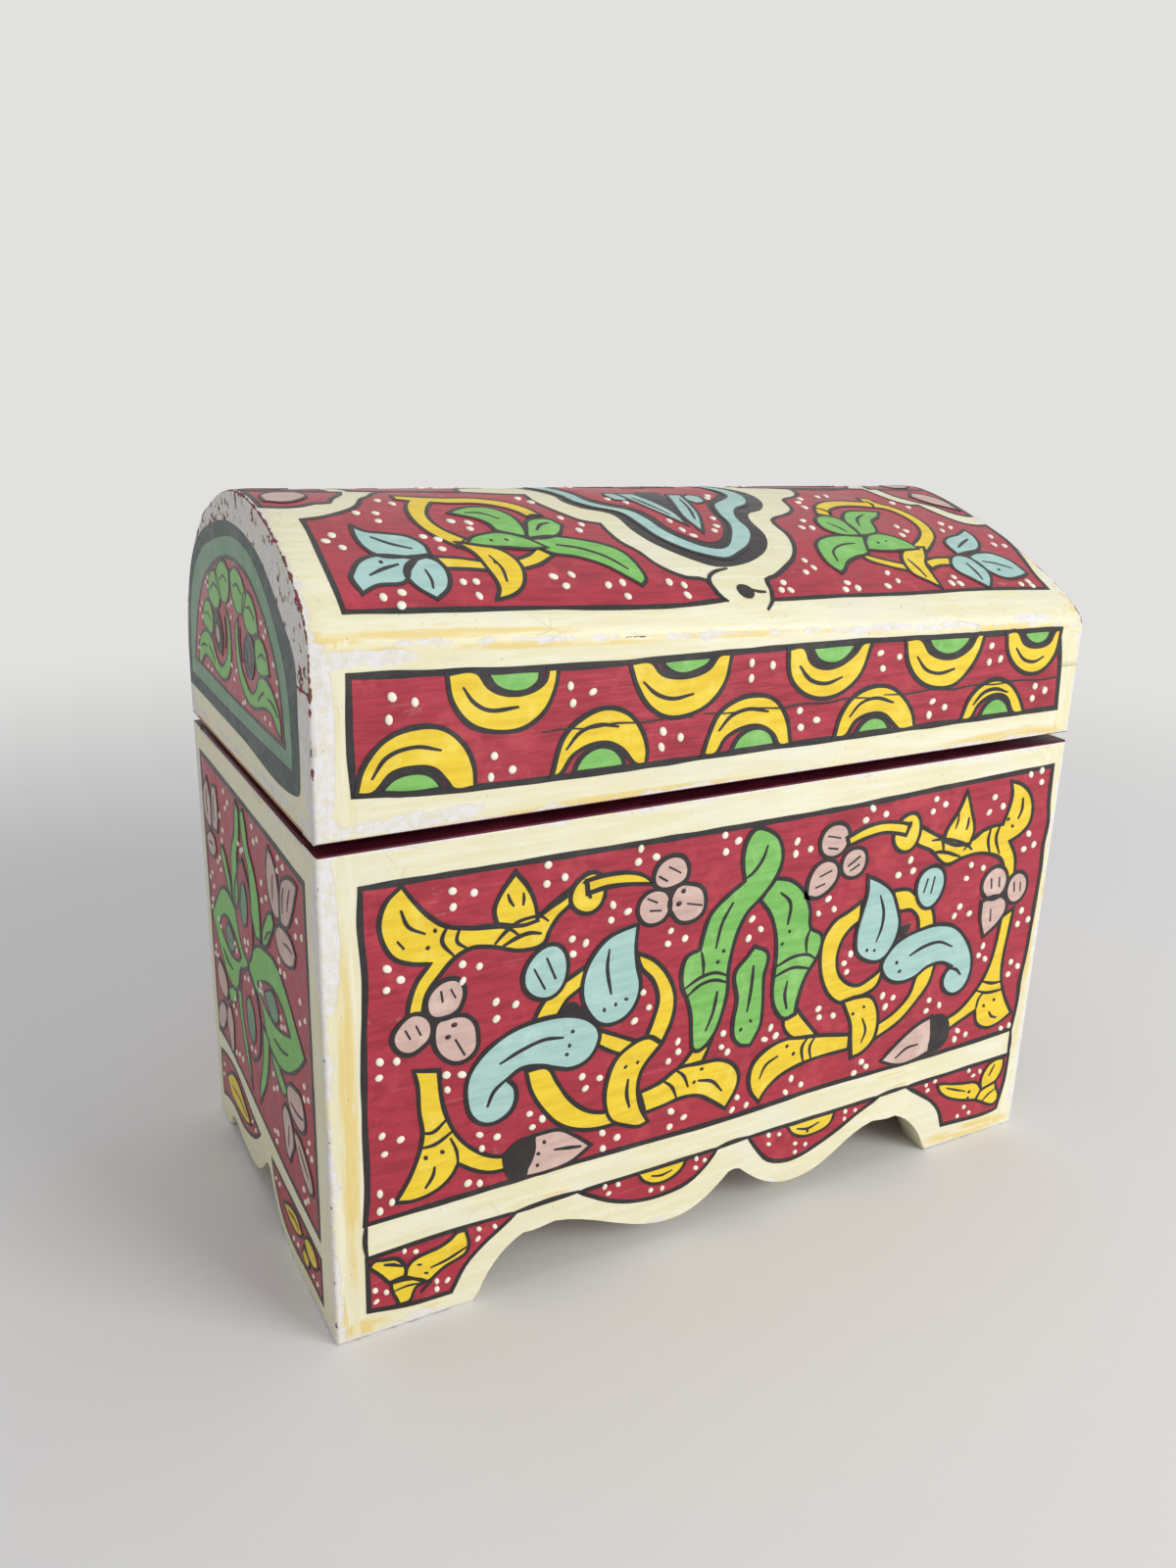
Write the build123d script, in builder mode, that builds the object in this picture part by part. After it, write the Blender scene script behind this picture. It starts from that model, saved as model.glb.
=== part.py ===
"""Wooden trinket chest with a coopered dome lid, scalloped feet and two small butt hinges.

The frame: +X to the right along the front, +Y from the front towards the back, +Z up.
The origin is the middle of the chest's box, hinge barrels included, on the table.
Sizes are in millimetres. Outlines are written from the front left corner of the chest.
"""

import os
from math import atan2, cos, degrees, radians, sin

from build123d import *

# The chest
width = 220.0
depth = 117.0
body_height = 126.0
wall = 9.0

# The floor inside the chest
floor_thickness = 6.0
floor_level = 24.0

# The front and back aprons, saw-cut below the floor: foot, crest, lobe, cusp, and back again.
# A bend is how far a curve's handle reaches, as a step across and up
front_foot_left = 36.0
front_foot_right = 36.0
front_crest_run = 18.0
front_crest_height = 17.0
front_lobe_setback = 20.5
front_lobe_height = 5.5
front_cusp_offset = 3.5
front_cusp_height = 16.5
front_foot_bend = (2.5, 9.0)
front_crest_bend = 8.0
front_fall_bend = 14.0
front_rise_bend = 9.0
front_cusp_bend = (6.0, 5.5)

# The side aprons: a flat front foot, a cusp in the middle and a raised back lobe
side_foot_front = 40.0
side_cusp_height = 16.0
side_lobe_setback = 20.0
side_lobe_height = 4.5
side_crest_height = 7.0
side_crest_setback = 18.0
side_foot_back = 2.0
side_foot_bend = (10.0, 0.5)
side_cusp_bend = (5.5, 5.0)
side_lobe_bend = 10.0
side_crest_bend = 4.5

# The lid: its skin, and an arch at each end, because the lid drops towards the right
lid_wall = 8.0
rail_joint_height = 148.0
shoulder_height = 146.0
arris_height_left = 171.0
arris_height_right = 160.0
crown_height_left = 196.0
crown_height_right = 189.5
crown_setback_left = 52.0
crown_setback_right = 68.0

# How the arches bend: the handles of their curves, as steps across and up
front_bend_left = (3.0, 12.0)
front_bend_right = (3.0, 8.0)
crown_bend_left = (24.0, 0.0)
crown_bend_right = (24.0, 3.9)
shoulder_bend_left = (3.0, 34.0)
shoulder_bend_right = (3.0, 26.0)

# The joints between the staves, as rays from the hub of the dome, in degrees from the back
stave_rays = (180.0, 140.0, 108.0, 76.0, 44.0, 0.0)

# The butt hinges: their leaves lie on the rims, and set the seam between lid and body
hinge_length = 24.0
hinge_setback = 40.0
leaf_thickness = 1.0
leaf_clearance = 0.4
leaf_width = 4.4
knuckle_radius = 1.8
pin_radius = 0.8
pin_clearance = 0.05
pin_inset = 0.95
pin_chamfer = 0.2
knuckle_gap = 0.3
barrel_clearance = 0.3
leaf_root = 1.2

# The hinge screws
screw_radius = 0.7
screw_head_radius = 1.4
screw_head_height = 0.7
screw_length = 7.0
screw_spacing = 14.0
screw_slot_width = 0.35
screw_slot_depth = 0.3
screw_clearance = 0.03

# The headless brads that nail the boards together
brad_radius = 0.7
brad_length = 20.0
stave_brad_tip = 30.0
front_stave_brad_share = 0.25

# How far a cutting form runs out past the wood
overrun = 1.0
brad_clearance = 0.03
corner_brad_low = 45.0
corner_brad_spacing = 33.0
corner_brad_rows = 3
floor_brad_spacing = 70.0
rail_brad_height = 138.0

# Worked out from the sizes above
seam_gap = 2 * leaf_thickness + leaf_clearance
lid_base = body_height + seam_gap
knuckle_proud = knuckle_radius - pin_inset
left_x = -width / 2
right_x = width / 2
front_y = -(depth + knuckle_proud) / 2
back_y = front_y + depth
groove_radius = knuckle_radius + barrel_clearance
pin_y = back_y - pin_inset
pin_z = body_height + seam_gap / 2
inner_length = width - 2 * wall
inner_depth = depth - 2 * wall
floor_middle = floor_level + floor_thickness / 2
end_middles = (left_x + wall / 2, right_x - wall / 2)
hub = (depth / 2, rail_joint_height)


def facing_front(y):
    """A sketch plane across the chest: its x runs to the right from the left end, its y up."""
    return Plane(origin=(left_x, y, 0), x_dir=(1, 0, 0), z_dir=(0, -1, 0))


def facing_right(x):
    """A sketch plane along the depth: its x runs back from the front face, its y up."""
    return Plane(origin=(x, front_y, 0), x_dir=(0, 1, 0), z_dir=(1, 0, 0))


def save(part, name):
    """Label a finished piece and write it as the STEP file of its own node."""
    part.label = name
    export_step(part, f"parts/{name}.step")


# Outlines of the boards
def front_outline():
    """The front board's face: a rectangle whose lower edge is cut into two lobes and a cusp."""
    cusp_x = width / 2 + front_cusp_offset
    with BuildSketch() as face:
        with BuildLine():
            Polyline(
                (front_foot_left, 0),
                (0, 0),
                (0, body_height),
                (width, body_height),
                (width, 0),
                (width - front_foot_right, 0),
            )
            for foot_x, side in ((front_foot_left, 1), (width - front_foot_right, -1)):
                crest_x = foot_x + side * front_crest_run
                lobe_x = cusp_x - side * front_lobe_setback
                crest = (crest_x, front_crest_height)
                lobe = (lobe_x, front_lobe_height)
                cusp = (cusp_x, front_cusp_height)
                Bezier(
                    (foot_x, 0),
                    (foot_x + side * front_foot_bend[0], front_foot_bend[1]),
                    (crest_x - side * front_crest_bend, front_crest_height),
                    crest,
                )
                Bezier(
                    crest,
                    (crest_x + side * front_fall_bend, front_crest_height),
                    (lobe_x - side * front_fall_bend, front_lobe_height),
                    lobe,
                )
                Bezier(
                    lobe,
                    (lobe_x + side * front_rise_bend, front_lobe_height),
                    (cusp_x - side * front_cusp_bend[0], front_cusp_height - front_cusp_bend[1]),
                    cusp,
                )
        make_face()
    return face.sketch


def side_outline():
    """A side board's face, between the front and back boards, with its apron cut to a cusp."""
    cusp_y = depth / 2
    lobe_y = cusp_y + side_lobe_setback
    crest_y = depth - side_crest_setback
    foot_y = depth - wall - side_foot_back
    cusp = (cusp_y, side_cusp_height)
    lobe = (lobe_y, side_lobe_height)
    crest = (crest_y, side_crest_height)
    with BuildSketch() as face:
        with BuildLine():
            Polyline(
                (side_foot_front, 0),
                (wall, 0),
                (wall, body_height),
                (depth - wall, body_height),
                (depth - wall, 0),
            )
            Bezier(
                (side_foot_front, 0),
                (side_foot_front + side_foot_bend[0], side_foot_bend[1]),
                (cusp_y - side_cusp_bend[0], side_cusp_height - side_cusp_bend[1]),
                cusp,
            )
            Bezier(
                cusp,
                (cusp_y + side_cusp_bend[0], side_cusp_height - side_cusp_bend[1]),
                (lobe_y - side_lobe_bend, side_lobe_height),
                lobe,
            )
            Bezier(
                lobe,
                (lobe_y + side_lobe_bend, side_lobe_height),
                (crest_y - side_crest_bend, side_crest_height),
                crest,
            )
            Bezier(
                crest,
                (crest_y + side_crest_bend, side_crest_height),
                (foot_y - side_crest_bend, 0),
                (foot_y, 0),
            )
            Line((foot_y, 0), (depth - wall, 0))
        make_face()
    return face.sketch


left_arch = (
    arris_height_left,
    (crown_setback_left, crown_height_left),
    front_bend_left,
    crown_bend_left,
    shoulder_bend_left,
)
right_arch = (
    arris_height_right,
    (crown_setback_right, crown_height_right),
    front_bend_right,
    crown_bend_right,
    shoulder_bend_right,
)


def arch_points(arch, inset):
    """The control points of an end's arch, over the dome from the front arris to the back."""
    arris, crown, front_bend, crown_bend, shoulder_bend = arch
    outer = (
        (0, arris),
        (front_bend[0], arris + front_bend[1]),
        (crown[0] - crown_bend[0], crown[1] - crown_bend[1]),
        crown,
        (crown[0] + crown_bend[0], crown[1] + crown_bend[1]),
        (depth - shoulder_bend[0], shoulder_height + shoulder_bend[1]),
        (depth, shoulder_height),
    )
    across = (depth - 2 * inset) / depth
    up = (crown[1] - inset - lid_base) / (crown[1] - lid_base)
    return [(inset + y * across, lid_base + (z - lid_base) * up) for y, z in outer]


def arch_face(x, arch, inset):
    """The lid's end face at x, brought in by inset all round but at its base."""
    points = arch_points(arch, inset)
    with BuildSketch(facing_right(x)) as face:
        with BuildLine():
            Bezier(*points[:4])
            Bezier(*points[3:])
            Polyline(points[6], (depth - inset, lid_base), (inset, lid_base), points[0])
        make_face()
    return face.sketch


def dome_block(inset=0.0):
    """The lid's solid form, ruled straight from the left arch to the right one."""
    ends = [arch_face(left_x, left_arch, inset), arch_face(right_x, right_arch, inset)]
    return loft(ends, ruled=True, mode=Mode.PRIVATE)


def wedge(*corners):
    """A prism along the whole lid over these corners, which cuts one strip from its skin."""
    with BuildSketch(facing_right(left_x - overrun)) as section:
        with BuildLine():
            Polyline(*corners, close=True)
        make_face()
    return extrude(section.sketch, amount=width + 2 * overrun, mode=Mode.PRIVATE)


def ray_end(angle):
    """A point far outside the lid on the ray at this angle from the hub of the dome."""
    reach = width
    return (
        depth / 2 + reach * cos(radians(angle)),
        rail_joint_height + reach * sin(radians(angle)),
    )


def brad(length, clearance=0.0):
    """A headless brad that starts at the origin and points down."""
    with BuildPart() as fastener:
        Cylinder(
            brad_radius + clearance,
            length,
            align=(Align.CENTER, Align.CENTER, Align.MAX),
        )
    return fastener.part


def stave_brad(clearance=0.0):
    """A long brad on a ray of the dome: it starts short of the skin and runs out past it."""
    with BuildPart() as fastener:
        with Locations((0, 0, stave_brad_tip)):
            Cylinder(
                brad_radius + clearance,
                width,
                align=(Align.CENTER, Align.CENTER, Align.MIN),
            )
    return fastener.part


def screw(clearance=0.0):
    """A countersunk screw with its head's top at the origin, pointing down."""
    radius = screw_radius + clearance
    head_radius = screw_head_radius + clearance
    with BuildPart() as fastener:
        with BuildSketch(Plane.XZ):
            with BuildLine():
                Polyline(
                    (0, 0),
                    (head_radius, 0),
                    (radius, -screw_head_height),
                    (radius, -screw_length + screw_radius),
                    (0, -screw_length),
                    close=True,
                )
            make_face()
        revolve(axis=Axis.Z)
    return fastener.part


def slotted_screw():
    """A screw with a slot across its head."""
    with BuildPart() as fastener:
        add(screw())
        Box(
            2 * screw_head_radius,
            screw_slot_width,
            screw_slot_depth,
            align=(Align.CENTER, Align.CENTER, Align.MAX),
            mode=Mode.SUBTRACT,
        )
    return fastener.part


# Places of the fasteners: each location's -Z is the way that its fastener is driven
driven_back = (90, 0, 0)
driven_front = (-90, 0, 0)


def board_brads(y, driven):
    """The brads through the front or back board into the side boards and the floor."""
    heights = [corner_brad_low + row * corner_brad_spacing for row in range(corner_brad_rows)]
    corners = [Location((x, y, z), driven) for x in end_middles for z in heights]
    floor = [Location((step * floor_brad_spacing, y, floor_middle), driven) for step in (-1, 0, 1)]
    return corners + floor


def rail_brads(y, driven):
    """The two brads through a rail into the lid's ends."""
    return [Location((x, y, rail_brad_height), driven) for x in end_middles]


def stave_brads(angle):
    """The two brads through a stave into the lid's ends, on the ray at this angle."""
    hub_y = front_y + depth / 2
    return [Location((x, hub_y, rail_joint_height), (angle - 90, 0, 0)) for x in end_middles]


hinge_middles = {"left": left_x + hinge_setback, "right": right_x - hinge_setback}
screw_y = pin_y - groove_radius - leaf_width / 2
barrels = [Location((x, pin_y, pin_z), (0, 90, 0)) for x in hinge_middles.values()]
leaf_screws = {
    "body": [
        Location((x + side * screw_spacing / 2, screw_y, body_height + leaf_thickness))
        for x in hinge_middles.values()
        for side in (-1, 1)
    ],
    "lid": [
        Location((x + side * screw_spacing / 2, screw_y, lid_base - leaf_thickness), (180, 0, 0))
        for x in hinge_middles.values()
        for side in (-1, 1)
    ],
}
front_brads = board_brads(front_y, driven_back)
back_brads = board_brads(back_y, driven_front)
rail_places = {
    "lid_front_rail": rail_brads(front_y, driven_back),
    "lid_back_rail": rail_brads(back_y, driven_front),
}
stave_places = {}
stave_corners = {}
for number, (start, end) in enumerate(zip(stave_rays, stave_rays[1:]), 1):
    share = front_stave_brad_share if number == 1 else 0.5
    stave_places[f"lid_stave_{number}"] = stave_brads(start + (end - start) * share)
    stave_corners[f"lid_stave_{number}"] = (hub, ray_end(start), ray_end(end))
all_rail_places = [place for places in rail_places.values() for place in places]
all_stave_places = [place for places in stave_places.values() for place in places]

os.makedirs("parts", exist_ok=True)

# The body: four boards and a floor
for name, y, side, places in (
    ("front_board", front_y, -1, front_brads),
    ("back_board", back_y - wall, -1, back_brads),
):
    with BuildPart() as board:
        with BuildSketch(facing_front(y)):
            add(front_outline())
        extrude(amount=side * wall)
        with Locations(*places):
            add(brad(brad_length, brad_clearance), mode=Mode.SUBTRACT)
        if name == "back_board":
            with Locations(*leaf_screws["body"]):
                add(screw(screw_clearance), mode=Mode.SUBTRACT)
            with Locations(*barrels):
                Cylinder(groove_radius, hinge_length + 2 * barrel_clearance, mode=Mode.SUBTRACT)
    save(board.part, name)

for name, x in (("left_side_board", left_x), ("right_side_board", right_x - wall)):
    with BuildPart() as board:
        with BuildSketch(facing_right(x)):
            add(side_outline())
        extrude(amount=wall)
        with Locations(*front_brads, *back_brads):
            add(brad(brad_length, brad_clearance), mode=Mode.SUBTRACT)
    save(board.part, name)

with BuildPart() as floor_board:
    with Locations((0, front_y + depth / 2, floor_level)):
        Box(
            inner_length,
            inner_depth,
            floor_thickness,
            align=(Align.CENTER, Align.CENTER, Align.MIN),
        )
    with Locations(*front_brads, *back_brads):
        add(brad(brad_length, brad_clearance), mode=Mode.SUBTRACT)
save(floor_board.part, "floor_board")

for name, places in (("front_brads", front_brads), ("back_brads", back_brads)):
    with BuildPart() as brads:
        with Locations(*places):
            add(brad(brad_length))
    save(brads.part, name)

# The lid: two rails and five staves over two arched end boards
strips = {
    "lid_front_rail": (
        (-overrun, lid_base),
        (depth / 2, lid_base),
        hub,
        (-overrun, rail_joint_height),
    ),
    "lid_back_rail": (
        (depth / 2, lid_base),
        (depth + overrun, lid_base),
        (depth + overrun, rail_joint_height),
        hub,
    ),
    **stave_corners,
}
for name, corners in strips.items():
    with BuildPart() as strip:
        add(dome_block())
        add(dome_block(lid_wall), mode=Mode.SUBTRACT)
        add(wedge(*corners), mode=Mode.INTERSECT)
        if name in stave_places:
            with Locations(*stave_places[name]):
                add(stave_brad(brad_clearance), mode=Mode.SUBTRACT)
        else:
            with Locations(*rail_places[name]):
                add(brad(brad_length, brad_clearance), mode=Mode.SUBTRACT)
        if name == "lid_back_rail":
            with Locations(*leaf_screws["lid"]):
                add(screw(screw_clearance), mode=Mode.SUBTRACT)
            with Locations(*barrels):
                Cylinder(groove_radius, hinge_length + 2 * barrel_clearance, mode=Mode.SUBTRACT)
    save(strip.part, name)

for name, x in (("lid_left_end", left_x), ("lid_right_end", right_x - wall)):
    with BuildPart() as end_board:
        add(dome_block(lid_wall))
        with Locations((x, front_y, 0)):
            Box(
                wall,
                depth,
                2 * crown_height_left,
                align=(Align.MIN, Align.MIN, Align.MIN),
                mode=Mode.INTERSECT,
            )
        with Locations(*all_stave_places):
            add(stave_brad(brad_clearance), mode=Mode.SUBTRACT)
        with Locations(*all_rail_places):
            add(brad(brad_length, brad_clearance), mode=Mode.SUBTRACT)
    save(end_board.part, name)

with BuildPart() as brads:
    with Locations(*all_stave_places):
        add(stave_brad())
    add(dome_block(), mode=Mode.INTERSECT)
    with Locations(*all_rail_places):
        add(brad(brad_length))
save(brads.part, "lid_brads")

# The hinges: a leaf on each rim, knuckles about one pin, and their screws
knuckle_length = (hinge_length - 2 * knuckle_gap) / 3
knuckle_pitch = knuckle_length + knuckle_gap
for hinge_name, hinge_x in hinge_middles.items():
    for owner, leaf_low, knuckles in (
        ("body", body_height, (-1, 1)),
        ("lid", lid_base - leaf_thickness, (0,)),
    ):
        with BuildPart() as leaf:
            with Locations((hinge_x, screw_y, leaf_low)):
                Box(
                    hinge_length,
                    leaf_width,
                    leaf_thickness,
                    align=(Align.CENTER, Align.CENTER, Align.MIN),
                )
            for step in knuckles:
                x = hinge_x + step * knuckle_pitch
                with Locations((x, pin_y - leaf_root, leaf_low)):
                    Box(
                        knuckle_length,
                        groove_radius - leaf_root,
                        leaf_thickness,
                        align=(Align.CENTER, Align.MAX, Align.MIN),
                    )
                with Locations(Location((x, pin_y, pin_z), (0, 90, 0))):
                    Cylinder(knuckle_radius, knuckle_length)
            with Locations(Location((hinge_x, pin_y, pin_z), (0, 90, 0))):
                Cylinder(pin_radius + pin_clearance, hinge_length, mode=Mode.SUBTRACT)
            with Locations(*leaf_screws[owner]):
                add(screw(screw_clearance), mode=Mode.SUBTRACT)
        save(leaf.part, f"{hinge_name}_hinge_{owner}_leaf")
    with BuildPart() as pin:
        with Locations(Location((hinge_x, pin_y, pin_z), (0, 90, 0))):
            Cylinder(pin_radius, hinge_length)
        chamfer(pin.edges().filter_by(GeomType.CIRCLE), pin_chamfer)
    save(pin.part, f"{hinge_name}_hinge_pin")

for owner, places in leaf_screws.items():
    with BuildPart() as screws:
        with Locations(*places):
            add(slotted_screw())
    save(screws.part, f"{owner}_leaf_screws")
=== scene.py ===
"""Looks for the painted dome-lid chest: worn painted boards, scrolling leaves in paint, hinges and a studio.

The frame: +X to the right along the front, +Y to the back, +Z up. Outlines are in millimetres from the
chest's front left corner: (x, z) on the front and back, (y, z) on the ends and (x, v) on the dome, where v
runs over the arch from its front arris.
"""

import math
import random

import bmesh
import bpy
from mathutils import Matrix, Vector
from mathutils import noise as wander


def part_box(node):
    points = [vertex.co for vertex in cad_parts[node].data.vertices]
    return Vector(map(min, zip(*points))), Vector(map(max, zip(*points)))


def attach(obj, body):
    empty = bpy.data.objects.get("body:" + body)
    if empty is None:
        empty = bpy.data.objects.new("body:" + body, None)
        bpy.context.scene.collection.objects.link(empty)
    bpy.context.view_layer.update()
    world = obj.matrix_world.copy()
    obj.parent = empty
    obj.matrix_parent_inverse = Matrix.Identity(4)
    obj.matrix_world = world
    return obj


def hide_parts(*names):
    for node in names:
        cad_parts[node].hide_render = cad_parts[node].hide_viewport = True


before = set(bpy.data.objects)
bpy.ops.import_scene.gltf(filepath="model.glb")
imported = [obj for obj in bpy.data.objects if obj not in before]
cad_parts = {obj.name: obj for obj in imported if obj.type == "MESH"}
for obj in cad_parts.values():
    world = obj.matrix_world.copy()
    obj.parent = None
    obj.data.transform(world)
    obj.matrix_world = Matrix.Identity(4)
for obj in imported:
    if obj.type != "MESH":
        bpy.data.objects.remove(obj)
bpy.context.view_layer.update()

MM = 0.001

# The chest's sizes, read from the frame and in millimetres
front_low, front_high = (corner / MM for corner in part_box("front_board"))
rail_low, rail_high = (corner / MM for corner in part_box("lid_front_rail"))
left_x, right_x = front_low.x, front_high.x
front_y = front_low.y
back_y = max((corner / MM).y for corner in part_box("back_board"))
width = right_x - left_x
depth = back_y - front_y
wall = front_high.y - front_low.y
body_height = front_high.z
lid_base = rail_low.z
rail_top = rail_high.z

# How far the coats of paint stand off the wood
coat = 0.15
edge_round = 0.9

# The dome's arches and its skin, as the part has them
lid_wall = 8.0
arch_left = ((0, 171), (3, 183), (28, 196), (52, 196), (76, 196), (114, 180), (117, 146))
arch_right = ((0, 160), (3, 168), (44, 185.6), (68, 189.5), (92, 193.4), (114, 172), (117, 146))
arris_round = 1.6
crown_left, crown_right = arch_left[3][1], arch_right[3][1]


# Curves
def bezier(a, b, c, d, t):
    """The point at t on a cubic curve."""
    s = 1 - t
    return tuple(
        s * s * s * p + 3 * s * s * t * q + 3 * s * t * t * r + t * t * t * w
        for p, q, r, w in zip(a, b, c, d)
    )


def bezier_run(points, steps):
    """Points along joined cubic curves, which share every third control point."""
    out = [points[0]]
    for i in range(0, len(points) - 1, 3):
        out += [bezier(*points[i : i + 4], (k + 1) / steps) for k in range(steps)]
    return out


def apron(foot, crest, lobe, cusp, bends):
    """Half an apron's lower edge, from its foot to the cusp in the middle."""
    side = 1 if cusp[0] > foot else -1
    foot_bend, crest_bend, fall, rise, cusp_bend = bends
    return [
        (foot, 0),
        (foot + side * foot_bend[0], foot_bend[1]),
        (crest[0] - side * crest_bend, crest[1]),
        crest,
        (crest[0] + side * fall, crest[1]),
        (lobe[0] - side * fall, lobe[1]),
        lobe,
        (lobe[0] + side * rise, lobe[1]),
        (cusp[0] - side * cusp_bend[0], cusp[1] - cusp_bend[1]),
        cusp,
    ]


apron_bends = ((2.5, 9), 8, 14, 9, (6, 5.5))
apron_cusp = (width / 2 + 3.5, 16.5)
apron_left = apron(36, (54, 17), (93, 5.5), apron_cusp, apron_bends)
apron_right = apron(width - 36, (width - 54, 17), (134, 5.5), apron_cusp, apron_bends)
side_apron = (
    (40, 0),
    (50, 0.5),
    (53, 11),
    (58.5, 16),
    (64, 11),
    (68.5, 4.5),
    (78.5, 4.5),
    (88.5, 4.5),
    (94.5, 7),
    (99, 7),
    (103.5, 7),
    (101.5, 0),
    (106, 0),
)


def arch_at(x, t):
    """The dome's outer point at x and at t from 0 at the front arris to 1 at the back: (y, z)."""
    half = 0 if t < 0.5 else 3
    u = 2 * t if t < 0.5 else 2 * t - 1
    near = bezier(*arch_left[half : half + 4], u)
    far = bezier(*arch_right[half : half + 4], u)
    share = x / width
    return tuple(a + (b - a) * share for a, b in zip(near, far))


def turning_point(low, high, past):
    """The t between low and high at which past(t) turns true."""
    halvings = 24
    for _ in range(halvings):
        middle = (low + high) / 2
        if past(middle):
            high = middle
        else:
            low = middle
    return low


# The arch's length from the arris, at even steps of t and at a few places along the chest
ARCH_STEPS = 240
ARCH_PLACES = 12


def arch_lengths(x):
    """The arch's length at each step of t, at x."""
    total = 0.0
    out = [0.0]
    last = arch_at(x, 0)
    for i in range(1, ARCH_STEPS + 1):
        now = arch_at(x, i / ARCH_STEPS)
        total += math.dist(last, now)
        out.append(total)
        last = now
    return out


arch_table = [arch_lengths(width * k / ARCH_PLACES) for k in range(ARCH_PLACES + 1)]


def length_at(x, i):
    """The arch's length to step i at x, between the places worked out."""
    k = min(max(x / width * ARCH_PLACES, 0), ARCH_PLACES - 1e-6)
    low = int(k)
    return arch_table[low][i] + (arch_table[low + 1][i] - arch_table[low][i]) * (k - low)


def arch_t(x, v):
    """The t whose length along the arch at x is v."""
    low, high = 0, ARCH_STEPS
    while high - low > 1:
        middle = (low + high) // 2
        if length_at(x, middle) <= v:
            low = middle
        else:
            high = middle
    a, b = length_at(x, low), length_at(x, high)
    return (low + (v - a) / (b - a)) / ARCH_STEPS


# The faces that are painted: each gives the point at (u, v) and the way out
def front_face(u, v):
    return (left_x + u, front_y, v), (0, -1, 0)


def back_face(u, v):
    return (right_x - u, back_y, v), (0, 1, 0)


def left_face(u, v):
    return (left_x, front_y + u, v), (-1, 0, 0)


def right_face(u, v):
    return (right_x, front_y + u, v), (1, 0, 0)


def dome_face(u, v):
    return dome_point(u, arch_t(u, v))


def dome_point(u, t):
    """The dome's point at u and t, and the way out there."""
    nearby = 0.004
    y, z = arch_at(u, t)
    ahead, behind = arch_at(u, min(t + nearby, 1)), arch_at(u, max(t - nearby, 0))
    along = Vector((0, ahead[0] - behind[0], ahead[1] - behind[1]))
    near, far = arch_at(0, t), arch_at(width, t)
    across = Vector((width, far[0] - near[0], far[1] - near[1]))
    out = across.cross(along).normalized()
    return (left_x + u, front_y + y, z), tuple(out)


# Meshes
def into_scene(piece):
    bpy.context.scene.collection.objects.link(piece)


def placed(name, mesh, body):
    """An object of the mesh, which rides on a body."""
    piece = bpy.data.objects.new(name, mesh)
    into_scene(piece)
    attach(piece, body)
    return piece


def make(name, verts, faces, body, materials, index=None, normals=None):
    """A smooth mesh object from points in millimetres, which rides on a body."""
    mesh = bpy.data.meshes.new(name)
    mesh.from_pydata([[c * MM for c in v] for v in verts], [], faces)
    for material in materials:
        mesh.materials.append(material)
    if index:
        mesh.polygons.foreach_set("material_index", index)
    mesh.polygons.foreach_set("use_smooth", [True] * len(faces))
    mesh.update()
    if normals:
        mesh.normals_split_custom_set_from_vertices(normals)
    return placed(name, mesh, body)


def from_bmesh(name, bm, body, materials):
    """A mesh object from a bmesh in millimetres, which rides on a body."""
    bmesh.ops.recalc_face_normals(bm, faces=bm.faces)
    bmesh.ops.scale(bm, vec=(MM, MM, MM), verts=bm.verts)
    mesh = bpy.data.meshes.new(name)
    bm.to_mesh(mesh)
    bm.free()
    for material in materials:
        mesh.materials.append(material)
    return placed(name, mesh, body)


# Materials
def srgb(r, g, b):
    """A colour from 0 to 255 as Blender's linear colour."""
    linear = [c / 255 / 12.92 if c <= 10 else ((c / 255 + 0.055) / 1.055) ** 2.4 for c in (r, g, b)]
    return (*linear, 1.0)


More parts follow.
